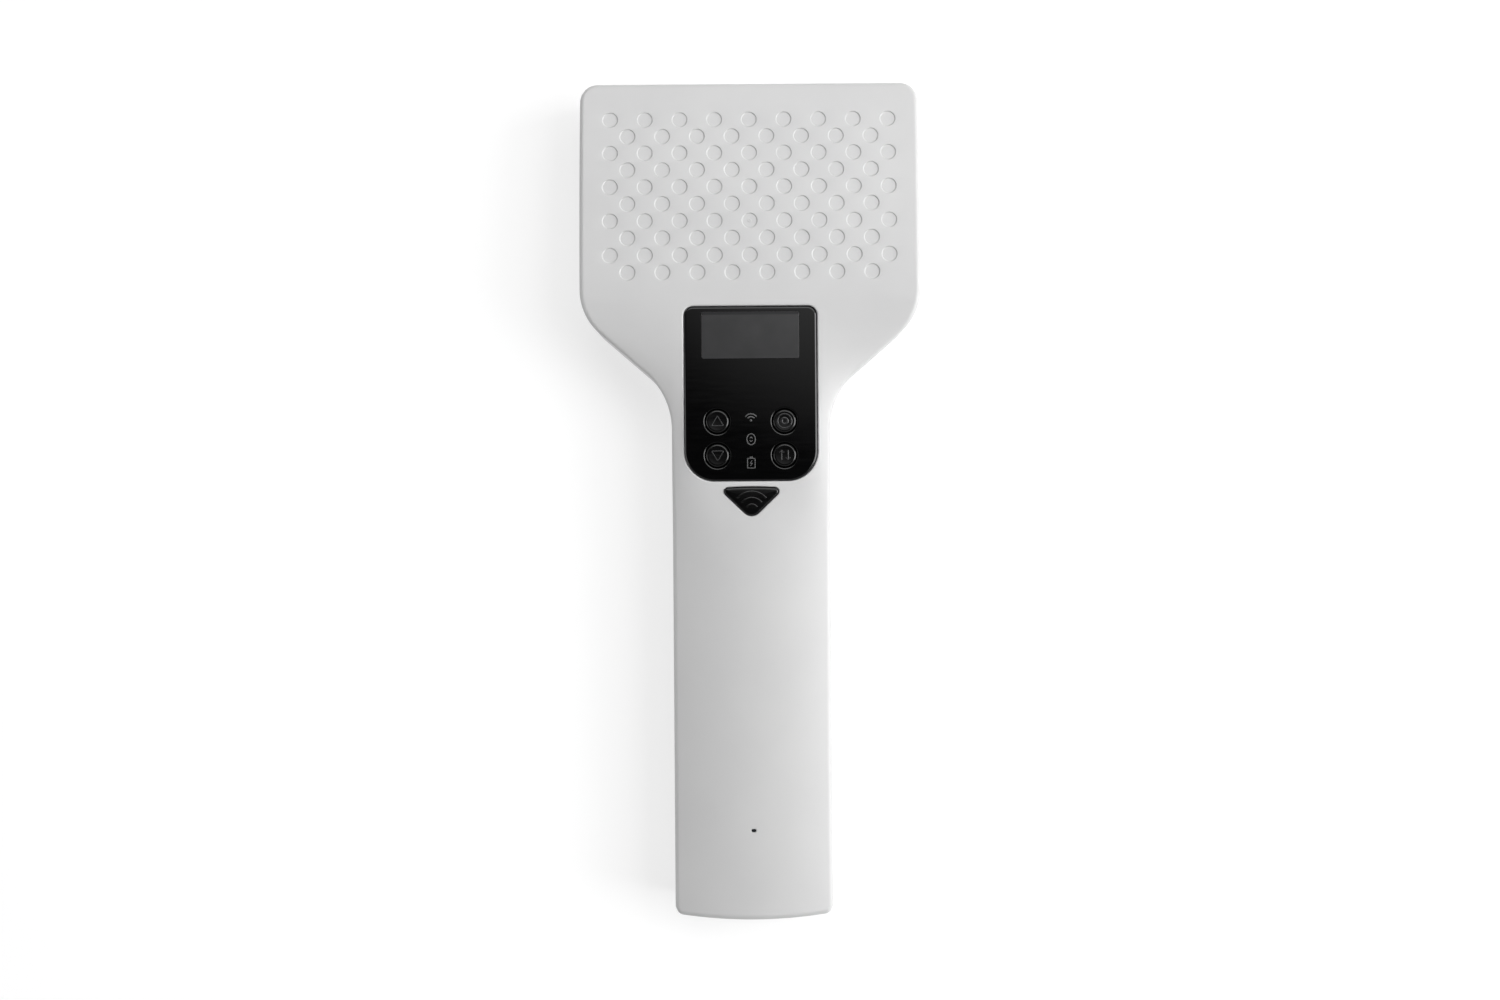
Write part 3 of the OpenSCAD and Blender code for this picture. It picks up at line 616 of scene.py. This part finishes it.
def socket_opening(net, wall, inner_wall):
    """Both walls of the handle's end, open round the charging socket: rings from the walls' missing
    block to the socket's outline, on the bow's cylinder y = y0 - sqrt(r^2 - x^2), and the passage
    between them."""
    first, last = BOW_MIDDLE - SOCKET_COLUMNS, BOW_MIDDLE + SOCKET_COLUMNS
    slot = around(SOCKET_CORNERS)
    edges = []
    for grid, radius, steps in ((wall, BOW_R, ((0.55, 0.0), (0.32, 0.02), (0.08, 0.12), (0.0, 0.35))),
                                (inner_wall, BOW_R - WALL, ((0.0, 0.0),))):
        whole = np.concatenate([grid, grid[:, :1]], 1)
        keep = np.ones((len(grid) - 1, len(LOOP_LENGTH)), bool)
        keep[:, first:last] = False
        net.sheet(whole, keep)
        edge = block_edge(grid, 0, len(grid) - 1, first, last)
        points = np.concatenate(net.points)[edge]
        curve, normals = facing(slot, np.array([0.0, SOCKET_Z]), points[:, [0, 2]])
        loops = [edge]
        for out, deep in steps:
            xz = curve + normals * out
            y = BOW_Y - np.sqrt(radius**2 - xz[:, 0] ** 2) + deep
            loops.append(net.put(np.stack([xz[:, 0], y, xz[:, 1]], -1)))
        net.rings(loops)
        edges.append(loops[-1])
    outer, inner = (np.concatenate(net.points)[edge][:, [0, 2]] for edge in edges)
    match = ((outer[:, None] - inner[None]) ** 2).sum(-1).argmin(1)
    net.rings([edges[0], edges[1][match]])


def screw_pocket(net, x, y):
    """A round pocket in the back and the post above it; returns the pocket's mouth."""
    spokes = circle(40)
    pocket, post = (
        [net.put(raised(np.array([x, y]) + r * spokes, z)) for r, z in profile]
        for profile in (POCKET, POST)
    )
    net.rings(pocket)
    net.rings(post)
    for loop in (pocket[-1], post[0], post[-1]):
        net.lid(loop)
    return pocket[0]


def label_recess(net):
    """A shallow rounded rectangle for the blank label; returns its mouth."""
    low, high = box_mm("rating_label")
    x, y = high[0] + LABEL_GAP - LABEL_R, (high[1] - low[1]) / 2 + LABEL_GAP - LABEL_R
    middle = (low[1] + high[1]) / 2
    corners = [(sx * x, middle + sy * y, LABEL_R) for sx, sy in ((1, 1), (-1, 1), (-1, -1), (1, -1))]
    curve, _ = around(corners, arc_points=12)
    loops = [net.put(raised(curve, z)) for z in (0.0, LABEL_DEEP)]
    net.rings(loops)
    net.lid(loops[-1])
    return loops[0]


def rear_shell():
    """The white rear half: level back with its screw pockets and label recess, back edge rounded to a
    quarter of an ellipse (inset a (1 - sin t), height b (1 - cos t)), side wall, rim, and the inside
    with its screw posts."""
    net = Net()
    outer = [
        net.put(ring(BACK_IN * (1 - math.sin(t)), BACK_UP * (1 - math.cos(t))))
        for t in np.linspace(0, math.pi / 2, 10)
    ]
    wall = np.stack([net.put(ring(0.0, z)) for z in WALL_LEVELS])
    rim = [net.put(ring(inset, z)) for inset, z in REAR_RIM]
    inner_wall = np.stack([net.put(ring(WALL, z)) for z in WALL_LEVELS[::-1]])
    floor = [net.put(ring(inset, z)) for inset, z in REAR_FLOOR]
    net.rings([*outer, wall[0]])
    net.rings([wall[-1], *rim, inner_wall[0]])
    net.rings([inner_wall[-1], *floor])
    net.lid(floor[-1])
    socket_opening(net, wall, inner_wall)
    holes = [screw_pocket(net, x, y) for x, y in SCREWS]
    net.lid(outer[0], [*holes, label_recess(net)])
    return net


# ---------- the panel, its window and the keys ----------

def slab_with_edge(net, outline, bottom, top, edge_r, steps):
    """Loops of an upright slab whose top edge is a quarter circle: inset r (1 - cos a), height
    top - r + r sin a."""
    curve, normals = outline
    loops = [net.put(raised(curve, bottom))]
    for a in np.linspace(0, math.pi / 2, steps):
        inset, z = edge_r * (1 - math.cos(a)), top - edge_r + edge_r * math.sin(a)
        loops.append(net.put(raised(curve - normals * inset, z)))
    net.rings(loops)
    return loops


PANEL_EDGE_R = 0.8
WINDOW_EDGE = (0.11, 0.0), (0.07, -0.05), (0.06, -0.2)  # gap outside the window, height from the top
HOLE_R, HOLE_EDGE_R = 4.0, 0.55


def control_panel():
    """The black panel: rounded outer edge, level face, window opening and four holes with rounded rims."""
    net = Net()
    outline = around(PANEL_CORNERS, arc_points=28)
    body = slab_with_edge(net, outline, PANEL_UNDER, PANEL_Z, PANEL_EDGE_R, 9)
    curve, normals = around(WINDOW_CORNERS, arc_points=10)
    steps = [(out, PANEL_Z + dz) for out, dz in WINDOW_EDGE] + [(WINDOW_EDGE[-1][0], PANEL_UNDER)]
    openings = [[net.put(raised(curve + normals * out, z)) for out, z in steps]]
    rim = [
        (HOLE_R + HOLE_EDGE_R * (1 - math.cos(a)), PANEL_Z - HOLE_EDGE_R + HOLE_EDGE_R * math.sin(a))
        for a in np.linspace(math.pi / 2, 0, 8)
    ]
    spokes = circle(96)
    for centre in KEYS.values():
        openings.append([net.put(raised(centre[:2] + r * spokes, z))
                         for r, z in (*rim, (HOLE_R, PANEL_UNDER))])
    for loops in openings:
        net.rings(loops)
    net.lid(body[-1], [loops[0] for loops in openings])
    net.lid(body[0], [loops[-1] for loops in openings])
    return net


def display_window():
    """The smoked window, level with the panel."""
    net = Net()
    outline = around(WINDOW_CORNERS, arc_points=10)
    loops = slab_with_edge(net, outline, PANEL_UNDER, PANEL_Z, 0.05, 3)
    net.lid(loops[0])
    net.lid(loops[-1])
    return net


def turned(net, centre, profile, n):
    """A profile (radius, height) turned round an upright axis; a radius of 0 is one point."""
    spokes = circle(n)
    loops = [
        net.put(raised(centre[:2] + r * spokes, z)) if r > 0 else net.put([centre[0], centre[1], z])
        for r, z in profile
    ]
    for a, b in zip(loops, loops[1:]):
        if a.ndim and b.ndim:
            net.rings([a, b])
        elif a.ndim:
            net.fan(a, b)
        else:
            net.fan(b, a)


def quarter(r, z, edge, n):
    """Profile of a convex rounded edge: (r - e + e cos a, z - e + e sin a)."""
    a = np.linspace(0, math.pi / 2, n)
    return [(r - edge + edge * math.cos(t), z - edge + edge * math.sin(t)) for t in a]


def round_key(centre):
    """A round key: retaining flange, straight skirt, rounded edge and a very slightly dished top."""
    net = Net()
    flange = [(0.0, 0.0), (4.6, 0.0), (4.75, 0.15), (4.75, 0.75), (4.6, 0.9), (3.75, 0.9), (3.7, 1.0)]
    dish = [(2.85, 0.012), (2.0, 0.035), (1.0, 0.055), (0.0, 0.06)]
    profile = [
        *((r, KEY_LOW + dz) for r, dz in flange),
        *quarter(3.7, KEY_TOP, 0.65, 9),
        *((r, KEY_TOP - depth) for r, depth in dish),
    ]
    turned(net, centre, profile, 96)
    return net


def scan_key():
    """The scan key: a rounded triangle with its point down, on a wider retaining flange. Its edge is a
    quarter of an ellipse, 0.5 across and 0.47 high, and the top rises from there to its middle, by
    0.05 share^2 less at each share of the way out."""
    net = Net()
    low, top = scan_low[2], scan_high[2]
    flange, dome = 1.0, 0.05
    curve, normals = around([(x, y, r - SCAN_GAP) for x, y, r in SCAN_CORNERS], 260)
    skirt = [(flange, low), (flange, low + 0.9), (0.0, low + 0.95), (0.0, FACE_Z - 0.2)]
    edge = [
        (-0.5 * (1 - math.cos(a)), top - 0.55 + 0.47 * math.sin(a))
        for a in np.linspace(0, math.pi / 2, 7)
    ]
    steps = [*skirt, *edge, (-0.75, top - 0.055), (-1.0, top - dome)]
    loops = [net.put(raised(curve + normals * out, z)) for out, z in steps]
    net.rings(loops)
    net.lid(loops[0])
    centre = curve.mean(0)
    rim = curve - normals
    shrink = [loops[-1]]
    for share in (0.7, 0.4, 0.15):
        shrink.append(net.put(raised(centre + (rim - centre) * share, top - dome * share**2)))
    net.rings(shrink)
    net.fan(shrink[-1], net.put([*centre, top]))
    return net


def ridge(net, path, half_width, z0, z1, closed=False):
    """A raised line with a rounded back: section x = w sin t, z = z0 + (z1 - z0) cos t, for t from
    -90 to 90 degrees, carried along a flat path on the path's own normal; open ends are closed by a
    flat face."""
    path = np.asarray(path, float)
    along = np.roll(path, -1, 0) - np.roll(path, 1, 0) if closed else np.gradient(path, axis=0)
    along /= np.linalg.norm(along, axis=1)[:, None]
    side = np.stack([-along[:, 1], along[:, 0]], -1)
    t = np.radians(np.linspace(-90, 90, 7))
    ids = net.put(np.stack([raised(path + side * half_width * a, z0 + (z1 - z0) * b)
                            for a, b in zip(np.sin(t), np.cos(t))], 1))
    net.rings(list(ids) + ([ids[0]] if closed else []))
    if not closed:
        net.add(ids[[0, -1]], flat=True)


def bent_line(points, step=0.12):
    """Points at equal steps along a line through corners."""
    points = np.asarray(points, float)
    length = lengths_along(points)
    at = np.linspace(0, length[-1], max(3, int(length[-1] / step)))
    return columns_at(at, length, points)


def arc_line(centre, r, start, end, n):
    """Points of an arc: centre + r (cos a, sin a)."""
    a = np.radians(np.linspace(start, end, n))
    return np.asarray(centre)[:2] + r * np.stack([np.cos(a), np.sin(a)], -1)


def rounded_line(x, y, corners, r):
    """The closed outline round corner circles of radius r set out from (x, y), as a path."""
    return around([(x + dx, y + dy, r) for dx, dy in corners], 90)[0]


TRIANGLES = {
    "key_up": [(1.55, -1.2), (0.0, 1.4), (-1.55, -1.2)],
    "key_down": [(1.55, 1.2), (-1.55, 1.2), (0.0, -1.4)],
}
POWER_RINGS = (2.25, 73, 0.27), (0.95, 49, 0.4)  # radius, points, half width
SCAN_ARCS = (1.9, 58), (4.0, 52), (6.0, 50)  # radius, half angle
WAVES_Y, OVAL_Y, BATTERY_Y = 25.2, 19.2, 11.7


def key_mark(name, centre):
    """Raised mark on a round key: a triangle up or down, a ring in a ring, or two arrows side by side."""
    net = Net()
    x, y = centre[:2]
    low, high = KEY_TOP - 0.10, KEY_TOP + 0.05
    if name in TRIANGLES:
        ridge(net, rounded_line(x, y, TRIANGLES[name], 0.2), 0.2, low, high, True)
    elif name == "key_power":
        for r, n, half_width in POWER_RINGS:
            ridge(net, arc_line(centre, r, 0, 360, n)[:-1], half_width, low, high, True)
    else:
        for sign in (-1, 1):
            middle, tip = x + sign * 1.05, y - sign * 1.6
            ridge(net, bent_line([(middle, y - 1.6), (middle, y + 1.6)]), 0.2, low, high)
            for out in (-0.72, 0.72):
                barb = [(middle, tip), (middle + out, tip + sign * 0.85)]
                ridge(net, bent_line(barb), 0.18, low, high)
    return net


def scan_mark():
    """Three raised arcs that spread upwards from the key's point."""
    net = Net()
    low, high = scan_high[2] - 0.15, scan_high[2] + 0.05
    for r, half in SCAN_ARCS:
        ridge(net, arc_line((0.1, -3.5), r, 90 - half, 90 + half, 36), 0.36, low, high)
    return net


def panel_prints():
    """Small grey signs between the keys: radio arcs, an oval with two arrow heads in it, and a battery
    with a bolt."""
    net = Net()
    low, high = FACE_Z + 0.09, FACE_Z + 0.125
    for r in (1.25, 2.15):
        ridge(net, arc_line((0.0, WAVES_Y), r, 34, 146, 26), 0.2, low, high)
    dot = [(0.0, low), (0.36, low), (0.3, high), (0.0, high)]
    turned(net, np.array([0.0, WAVES_Y + 0.05]), dot, 20)

    ridge(net, [0.0, OVAL_Y] + circle(60) * [1.35, 1.75], 0.17, low, high, True)
    for sign in (-1, 1):
        foot, tip = OVAL_Y + sign * 0.28, OVAL_Y + sign * 0.78
        ridge(net, bent_line([(-0.42, foot), (0.0, tip), (0.42, foot)]), 0.14, low, high)

    case = [(0.95, 1.15), (-0.95, 1.15), (-0.95, -1.45), (0.95, -1.45)]
    bolt = [(0.3, 0.75), (-0.35, -0.15), (0.35, -0.15), (-0.3, -1.05)]
    ridge(net, rounded_line(0.0, BATTERY_Y, case, 0.25), 0.15, low, high, True)
    ridge(net, bent_line([(-0.5, BATTERY_Y + 1.78), (0.5, BATTERY_Y + 1.78)]), 0.18, low, high)
    ridge(net, bent_line([(x, BATTERY_Y + dy) for x, dy in bolt]), 0.12, low, high)
    return net


def gate_mark():
    """The small round mark that moulding leaves, a low ring in the middle of one dimple."""
    net = Net()
    centre = np.array([0.0, DIMPLE_FIRST_Y + GATE_ROW * DIMPLE_ROW_PITCH])
    z = float(front_height(centre, DEEP)) - DIMPLE_DEPTH
    profile = [(0.0, -0.2), (0.55, -0.2), (0.55, 0.02), (0.47, 0.09), (0.34, 0.11), (0.24, 0.04),
               (0.0, 0.03)]
    turned(net, centre, [(r, z + dz) for r, dz in profile], 28)
    return net


# ---------- finishes ----------

def nodes_of(name):
    """A new material with a Principled shader; returns it, its node tree and the shader."""
    material = bpy.data.materials.new(name)
    material.use_nodes = True
    tree = material.node_tree
    tree.nodes.clear()
    shader = tree.nodes.new("ShaderNodeBsdfPrincipled")
    output = tree.nodes.new("ShaderNodeOutputMaterial")
    tree.links.new(shader.outputs["BSDF"], output.inputs["Surface"])
    return material, tree, shader


def noise(tree, scale, detail=2.0, stretch=(1.0, 1.0, 1.0), roughness=0.5):
    """Noise on Object coordinates, scale in cycles per metre."""
    place = tree.nodes.new("ShaderNodeTexCoord")
    mapping = tree.nodes.new("ShaderNodeMapping")
    mapping.inputs["Scale"].default_value = stretch
    texture = tree.nodes.new("ShaderNodeTexNoise")
    texture.inputs["Scale"].default_value = scale
    texture.inputs["Detail"].default_value = detail
    texture.inputs["Roughness"].default_value = roughness
    tree.links.new(place.outputs["Object"], mapping.inputs["Vector"])
    tree.links.new(mapping.outputs["Vector"], texture.inputs["Vector"])
    return texture.outputs["Fac"]


def spread(tree, value, low, high, start=0.3, end=0.7):
    """Maps start..end of a value to low..high."""
    node = tree.nodes.new("ShaderNodeMapRange")
    for key, number in (("From Min", start), ("From Max", end), ("To Min", low), ("To Max", high)):
        node.inputs[key].default_value = number
    tree.links.new(value, node.inputs["Value"])
    return node.outputs["Result"]


def two_tone(tree, value, first, second, start=0.3, end=0.7):
    """Colour between two by a value."""
    ramp = tree.nodes.new("ShaderNodeValToRGB")
    ramp.color_ramp.elements[0].position, ramp.color_ramp.elements[1].position = start, end
    ramp.color_ramp.elements[0].color, ramp.color_ramp.elements[1].color = (*first, 1), (*second, 1)
    tree.links.new(value, ramp.inputs["Fac"])
    return ramp.outputs["Color"]


def relief(tree, shader, layers):
    """Bump from several heights, each (value, strength, distance in metres)."""
    before = None
    for value, strength, distance in layers:
        bump = tree.nodes.new("ShaderNodeBump")
        bump.inputs["Strength"].default_value = strength
        bump.inputs["Distance"].default_value = distance
        tree.links.new(value, bump.inputs["Height"])
        if before:
            tree.links.new(before, bump.inputs["Normal"])
        before = bump.outputs["Normal"]
    tree.links.new(before, shader.inputs["Normal"])


def white_plastic():
    """Moulded white plastic: even, very slightly mottled, fine spark-eroded grain and faint flow."""
    material, tree, shader = nodes_of("white_plastic")
    tone = two_tone(tree, noise(tree, 34, 3), (0.508, 0.508, 0.510), (0.532, 0.532, 0.532))
    tree.links.new(tone, shader.inputs["Base Color"])
    tree.links.new(spread(tree, noise(tree, 120, 3), 0.36, 0.44), shader.inputs["Roughness"])
    relief(tree, shader, [
        (noise(tree, 60, 2, (1.0, 0.35, 1.0)), 0.25, 0.00008),
        (noise(tree, 5200, 2), 0.18, 0.00002),
    ])
    return material


def black_gloss(name, base, rough_low, rough_high):
    """Polished black plastic with fine hairlines and slight waviness."""
    material, tree, shader = nodes_of(name)
    tone = two_tone(tree, noise(tree, 90, 3), tuple(0.85 * c for c in base), tuple(1.15 * c for c in base))
    tree.links.new(tone, shader.inputs["Base Color"])
    hairlines = noise(tree, 900, 3, (0.12, 1.0, 1.0), 0.6)
    tree.links.new(spread(tree, hairlines, rough_low, rough_high), shader.inputs["Roughness"])
    relief(tree, shader, [(noise(tree, 40, 1), 0.2, 0.00003), (noise(tree, 2500, 2), 0.06, 0.00001)])
    return material


def smoked_window():
    """Smoked window: a dark strip along its top, a slightly uneven grey below, a polished face."""
    material, tree, shader = nodes_of("smoked_window")
    place = tree.nodes.new("ShaderNodeTexCoord")
    split = tree.nodes.new("ShaderNodeSeparateXYZ")
    tree.links.new(place.outputs["Object"], split.inputs["Vector"])
    strip = (window_high[1] - 1.0) * MM
    band = spread(tree, split.outputs["Y"], 0.0, 1.0, strip - 0.00006, strip + 0.00006)
    body = two_tone(tree, noise(tree, 120, 2), (0.030, 0.030, 0.031), (0.036, 0.036, 0.037))
    mix = tree.nodes.new("ShaderNodeMix")
    mix.data_type = "RGBA"
    tree.links.new(band, mix.inputs["Factor"])
    tree.links.new(body, mix.inputs["A"])
    mix.inputs["B"].default_value = (0.016, 0.016, 0.017, 1)
    tree.links.new(mix.outputs["Result"], shader.inputs["Base Color"])
    tree.links.new(spread(tree, noise(tree, 700, 3, (0.2, 1, 1)), 0.1, 0.17), shader.inputs["Roughness"])
    relief(tree, shader, [(noise(tree, 50, 1), 0.15, 0.00002)])
    return material


FINISHES = {
    # slot: colour, darker share, roughness low and high, metallic, then pattern and grain in cycles
    # per metre
    "grey_rubber": ((0.20, 0.20, 0.205), 0.8, 0.55, 0.75, 0.0, 150, 3000),
    "steel": ((0.56, 0.56, 0.57), 0.75, 0.22, 0.42, 1.0, 400, 2500),
    "nickel": ((0.62, 0.61, 0.58), 0.85, 0.18, 0.32, 1.0, 300, 2000),
    "gold": ((0.80, 0.55, 0.20), 0.85, 0.2, 0.35, 1.0, 300, 1500),
    "label": ((0.55, 0.56, 0.57), 0.92, 0.3, 0.42, 0.3, 60, 2500),
    "adhesive": ((0.06, 0.06, 0.06), 0.7, 0.6, 0.8, 0.0, 200, 1500),
    "green_board": ((0.012, 0.11, 0.045), 0.55, 0.28, 0.45, 0.0, 500, 900),
    "black_chip": ((0.02, 0.02, 0.021), 0.7, 0.45, 0.6, 0.0, 300, 3500),
    "brown_film": ((0.26, 0.11, 0.035), 0.7, 0.3, 0.5, 0.0, 400, 1500),
    "amber_flex": ((0.45, 0.21, 0.035), 0.6, 0.25, 0.4, 0.0, 900, 900),
    "oled_glass": ((0.02, 0.02, 0.024), 0.8, 0.05, 0.12, 0.0, 80, 600),
    "ivory_plastic": ((0.62, 0.58, 0.48), 0.88, 0.4, 0.55, 0.0, 120, 2500),
    "black_plastic": ((0.02, 0.02, 0.02), 0.7, 0.4, 0.55, 0.0, 200, 2500),
    "cell_wrap": ((0.02, 0.09, 0.34), 0.75, 0.18, 0.32, 0.0, 70, 900),
    "foam": ((0.03, 0.03, 0.032), 0.5, 0.8, 0.95, 0.0, 900, 1800),
    "red_wire": ((0.42, 0.012, 0.01), 0.8, 0.3, 0.42, 0.0, 150, 1500),
    "black_wire": ((0.02, 0.02, 0.02), 0.8, 0.3, 0.42, 0.0, 150, 1500),
    "grey_wire": ((0.33, 0.33, 0.34), 0.85, 0.35, 0.5, 0.0, 150, 1500),
    "clear_plastic": ((0.022, 0.024, 0.026), 0.8, 0.15, 0.25, 0.0, 150, 1500),
    "led": ((0.42, 0.5, 0.36), 0.85, 0.3, 0.45, 0.0, 300, 1500),
    "copper_winding": ((0.42, 0.13, 0.05), 0.6, 0.22, 0.38, 0.9, 400, 900),
}


STRETCHES = {"copper_winding": (1, 1, 8), "green_board": (1, 0.25, 1), "amber_flex": (1, 0.02, 1)}


def plain_finish(slot):
    """A finish for a piece inside the casing: mottled colour, uneven gloss and grain, from the table."""
    colour, share, low, high, metallic, pattern, grain = FINISHES[slot]
    material, tree, shader = nodes_of(slot)
    stretch = STRETCHES.get(slot, (1, 1, 1))
    tone = two_tone(tree, noise(tree, pattern, 4, stretch), tuple(share * c for c in colour), colour)
    tree.links.new(tone, shader.inputs["Base Color"])
    tree.links.new(spread(tree, noise(tree, pattern * 2, 3), low, high), shader.inputs["Roughness"])
    shader.inputs["Metallic"].default_value = metallic
    relief(tree, shader, [(noise(tree, grain, 3, stretch), 0.3, 0.00004)])
    return material


WHITE = white_plastic()
PANEL_BLACK = black_gloss("panel_black", (0.0012, 0.0012, 0.0013), 0.07, 0.13)
KEY_BLACK = black_gloss("key_black", (0.0020, 0.0020, 0.0021), 0.12, 0.19)
SCAN_BLACK = black_gloss("scan_black", (0.0020, 0.0020, 0.0021), 0.12, 0.2)
# the key marks are the keys' own black; their lighter base colour is a painted highlight standing in for
# light catching the raised marks
MARK_PAINTED_SHEEN = black_gloss("mark_painted_sheen", (0.014, 0.014, 0.015), 0.14, 0.22)
PRINT_GREY = black_gloss("print_grey", (0.075, 0.075, 0.076), 0.35, 0.45)
SMOKED = smoked_window()

make_piece("casing_front", front_shell(), WHITE, "casing", "white_plastic", "front_shell")
make_piece("casing_rear", rear_shell(), WHITE, "casing", "white_plastic", "rear_shell")
make_piece("panel", control_panel(), PANEL_BLACK, "casing", "black_panel", "control_panel")
make_piece("window", display_window(), SMOKED, "casing", "smoked_window", "display_window")
make_piece("panel_signs", panel_prints(), PRINT_GREY, "casing", "grey_wire")
for key, centre in KEYS.items():
    make_piece(f"{key}_cap", round_key(centre), KEY_BLACK, f"{key}_body", "black_keys", key)
    # the marks' material carries a painted highlight, a lighter black than the caps
    make_piece(f"{key}_mark", key_mark(key, centre), MARK_PAINTED_SHEEN, f"{key}_body", "black_keys")
make_piece("scan_cap", scan_key(), SCAN_BLACK, "scan_key_body", "scan_key", "scan_key")
make_piece("scan_mark", scan_mark(), SCAN_BLACK, "scan_key_body", "scan_key")

make_piece("gate_mark", gate_mark(), WHITE, "casing", "white_plastic")

slot_of = {s["node"]: s["material_slot"] for s in frame["record"]["subparts"]}
made = {slot: plain_finish(slot) for slot in FINISHES}
for node, thing in frame["nodes"].items():
    finish = made.get(slot_of.get(node))
    if finish:
        thing.data.materials.clear()
        thing.data.materials.append(finish)

# ---------- floor, light and camera, in metres ----------

FLOOR_HALF, FLOOR_LEVEL, FLOOR_GLOW = 6.0, -0.00005, 0.66
WALL_LIGHT, CEILING_LIGHT = 0.36, 0.004
PATCH_AT, PATCH_SIZE, PATCH_LIGHT = (0.10, 0.26, 0.965), 0.23, 1.5
LIGHTS = {  # place, aim, size, watts
    "side_light": ((1.27, 0.0, 0.59), (0, 0, 0.02), (1.0, 1.0), 15.0),
    "high_light": ((0.9, 0.0, 1.07), (0, 0, 0.02), (0.9, 0.9), 9.3),
    "tip_light": ((0.25, 0.85, 1.25), (0.1, 0.3, 0), (1.6, 0.9), 11.0),
    "low_light": ((-1.35, -0.2, 0.28), (0, 0, 0.02), (0.8, 1.0), 3.0),
}
CAMERA_X, CAMERA_Y, CAMERA_UP = -0.00048, -0.00022, 0.430
CAMERA_TURN, LENS = -0.41, 32.25


def floor_sheet():
    """A level floor, one large square just under the casing, with a slight glow so that it stays pale."""
    mesh = bpy.data.meshes.new("floor")
    corners = [(-1, -1), (1, -1), (1, 1), (-1, 1)]
    points = [(sx * FLOOR_HALF, sy * FLOOR_HALF, FLOOR_LEVEL) for sx, sy in corners]
    mesh.from_pydata(points, [], [(0, 1, 2, 3)])
    material, tree, shader = nodes_of("floor_white")
    tone = two_tone(tree, noise(tree, 3, 2), (0.35, 0.35, 0.35), (0.37, 0.37, 0.37))
    tree.links.new(tone, shader.inputs["Base Color"])
    shader.inputs["Roughness"].default_value = 0.9
    shader.inputs["Emission Color"].default_value = (1, 1, 1, 1)
    shader.inputs["Emission Strength"].default_value = FLOOR_GLOW
    mesh.materials.append(material)
    floor = bpy.data.objects.new("floor", mesh)
    bpy.context.scene.collection.objects.link(floor)


def area_light(name, place, aim, size, power):
    """A rectangular soft light pointed at a place."""
    data = bpy.data.lights.new(name, "AREA")
    data.shape = "RECTANGLE"
    data.size, data.size_y = size
    data.energy = power
    light = bpy.data.objects.new(name, data)
    light.location = place
    light.rotation_euler = (Vector(aim) - Vector(place)).to_track_quat("-Z", "Y").to_euler()
    bpy.context.scene.collection.objects.link(light)


def studio_world():
    """Pale walls, dark ceiling and one soft patch of light: brightness falls from WALL_LIGHT low down
    to CEILING_LIGHT overhead, plus a round patch 1 - distance / PATCH_SIZE about one direction."""
    world = bpy.data.worlds.new("studio")
    world.use_nodes = True
    tree = world.node_tree
    place = tree.nodes.new("ShaderNodeTexCoord")
    split = tree.nodes.new("ShaderNodeSeparateXYZ")
    tree.links.new(place.outputs["Generated"], split.inputs["Vector"])
    walls = spread(tree, split.outputs["Z"], WALL_LIGHT, CEILING_LIGHT, 0.55, 0.9)
    mapping = tree.nodes.new("ShaderNodeMapping")
    mapping.vector_type = "TEXTURE"
    mapping.inputs["Location"].default_value = PATCH_AT
    mapping.inputs["Scale"].default_value = (PATCH_SIZE,) * 3
    patch = tree.nodes.new("ShaderNodeTexGradient")
    patch.gradient_type = "SPHERICAL"
    tree.links.new(place.outputs["Generated"], mapping.inputs["Vector"])
    tree.links.new(mapping.outputs["Vector"], patch.inputs["Vector"])
    glow = spread(tree, patch.outputs["Fac"], 0.0, PATCH_LIGHT, 0.0, 1.0)
    total = tree.nodes.new("ShaderNodeMath")
    tree.links.new(walls, total.inputs[0])
    tree.links.new(glow, total.inputs[1])
    tree.links.new(total.outputs["Value"], tree.nodes["Background"].inputs["Strength"])
    tree.nodes["Background"].inputs["Color"].default_value = (1, 1, 1, 1)
    bpy.context.scene.world = world


floor_sheet()
studio_world()
for name, settings in LIGHTS.items():
    area_light(name, *settings)

camera_data = bpy.data.cameras.new("camera")
camera_data.sensor_width = 36.0
camera_data.lens = LENS
camera = bpy.data.objects.new("camera", camera_data)
camera.location = (CAMERA_X, CAMERA_Y, FACE_Z * MM + CAMERA_UP)
camera.rotation_euler = (0, 0, math.radians(CAMERA_TURN))
bpy.context.scene.collection.objects.link(camera)
bpy.context.scene.camera = camera
bpy.context.scene.view_settings.view_transform = "Standard"
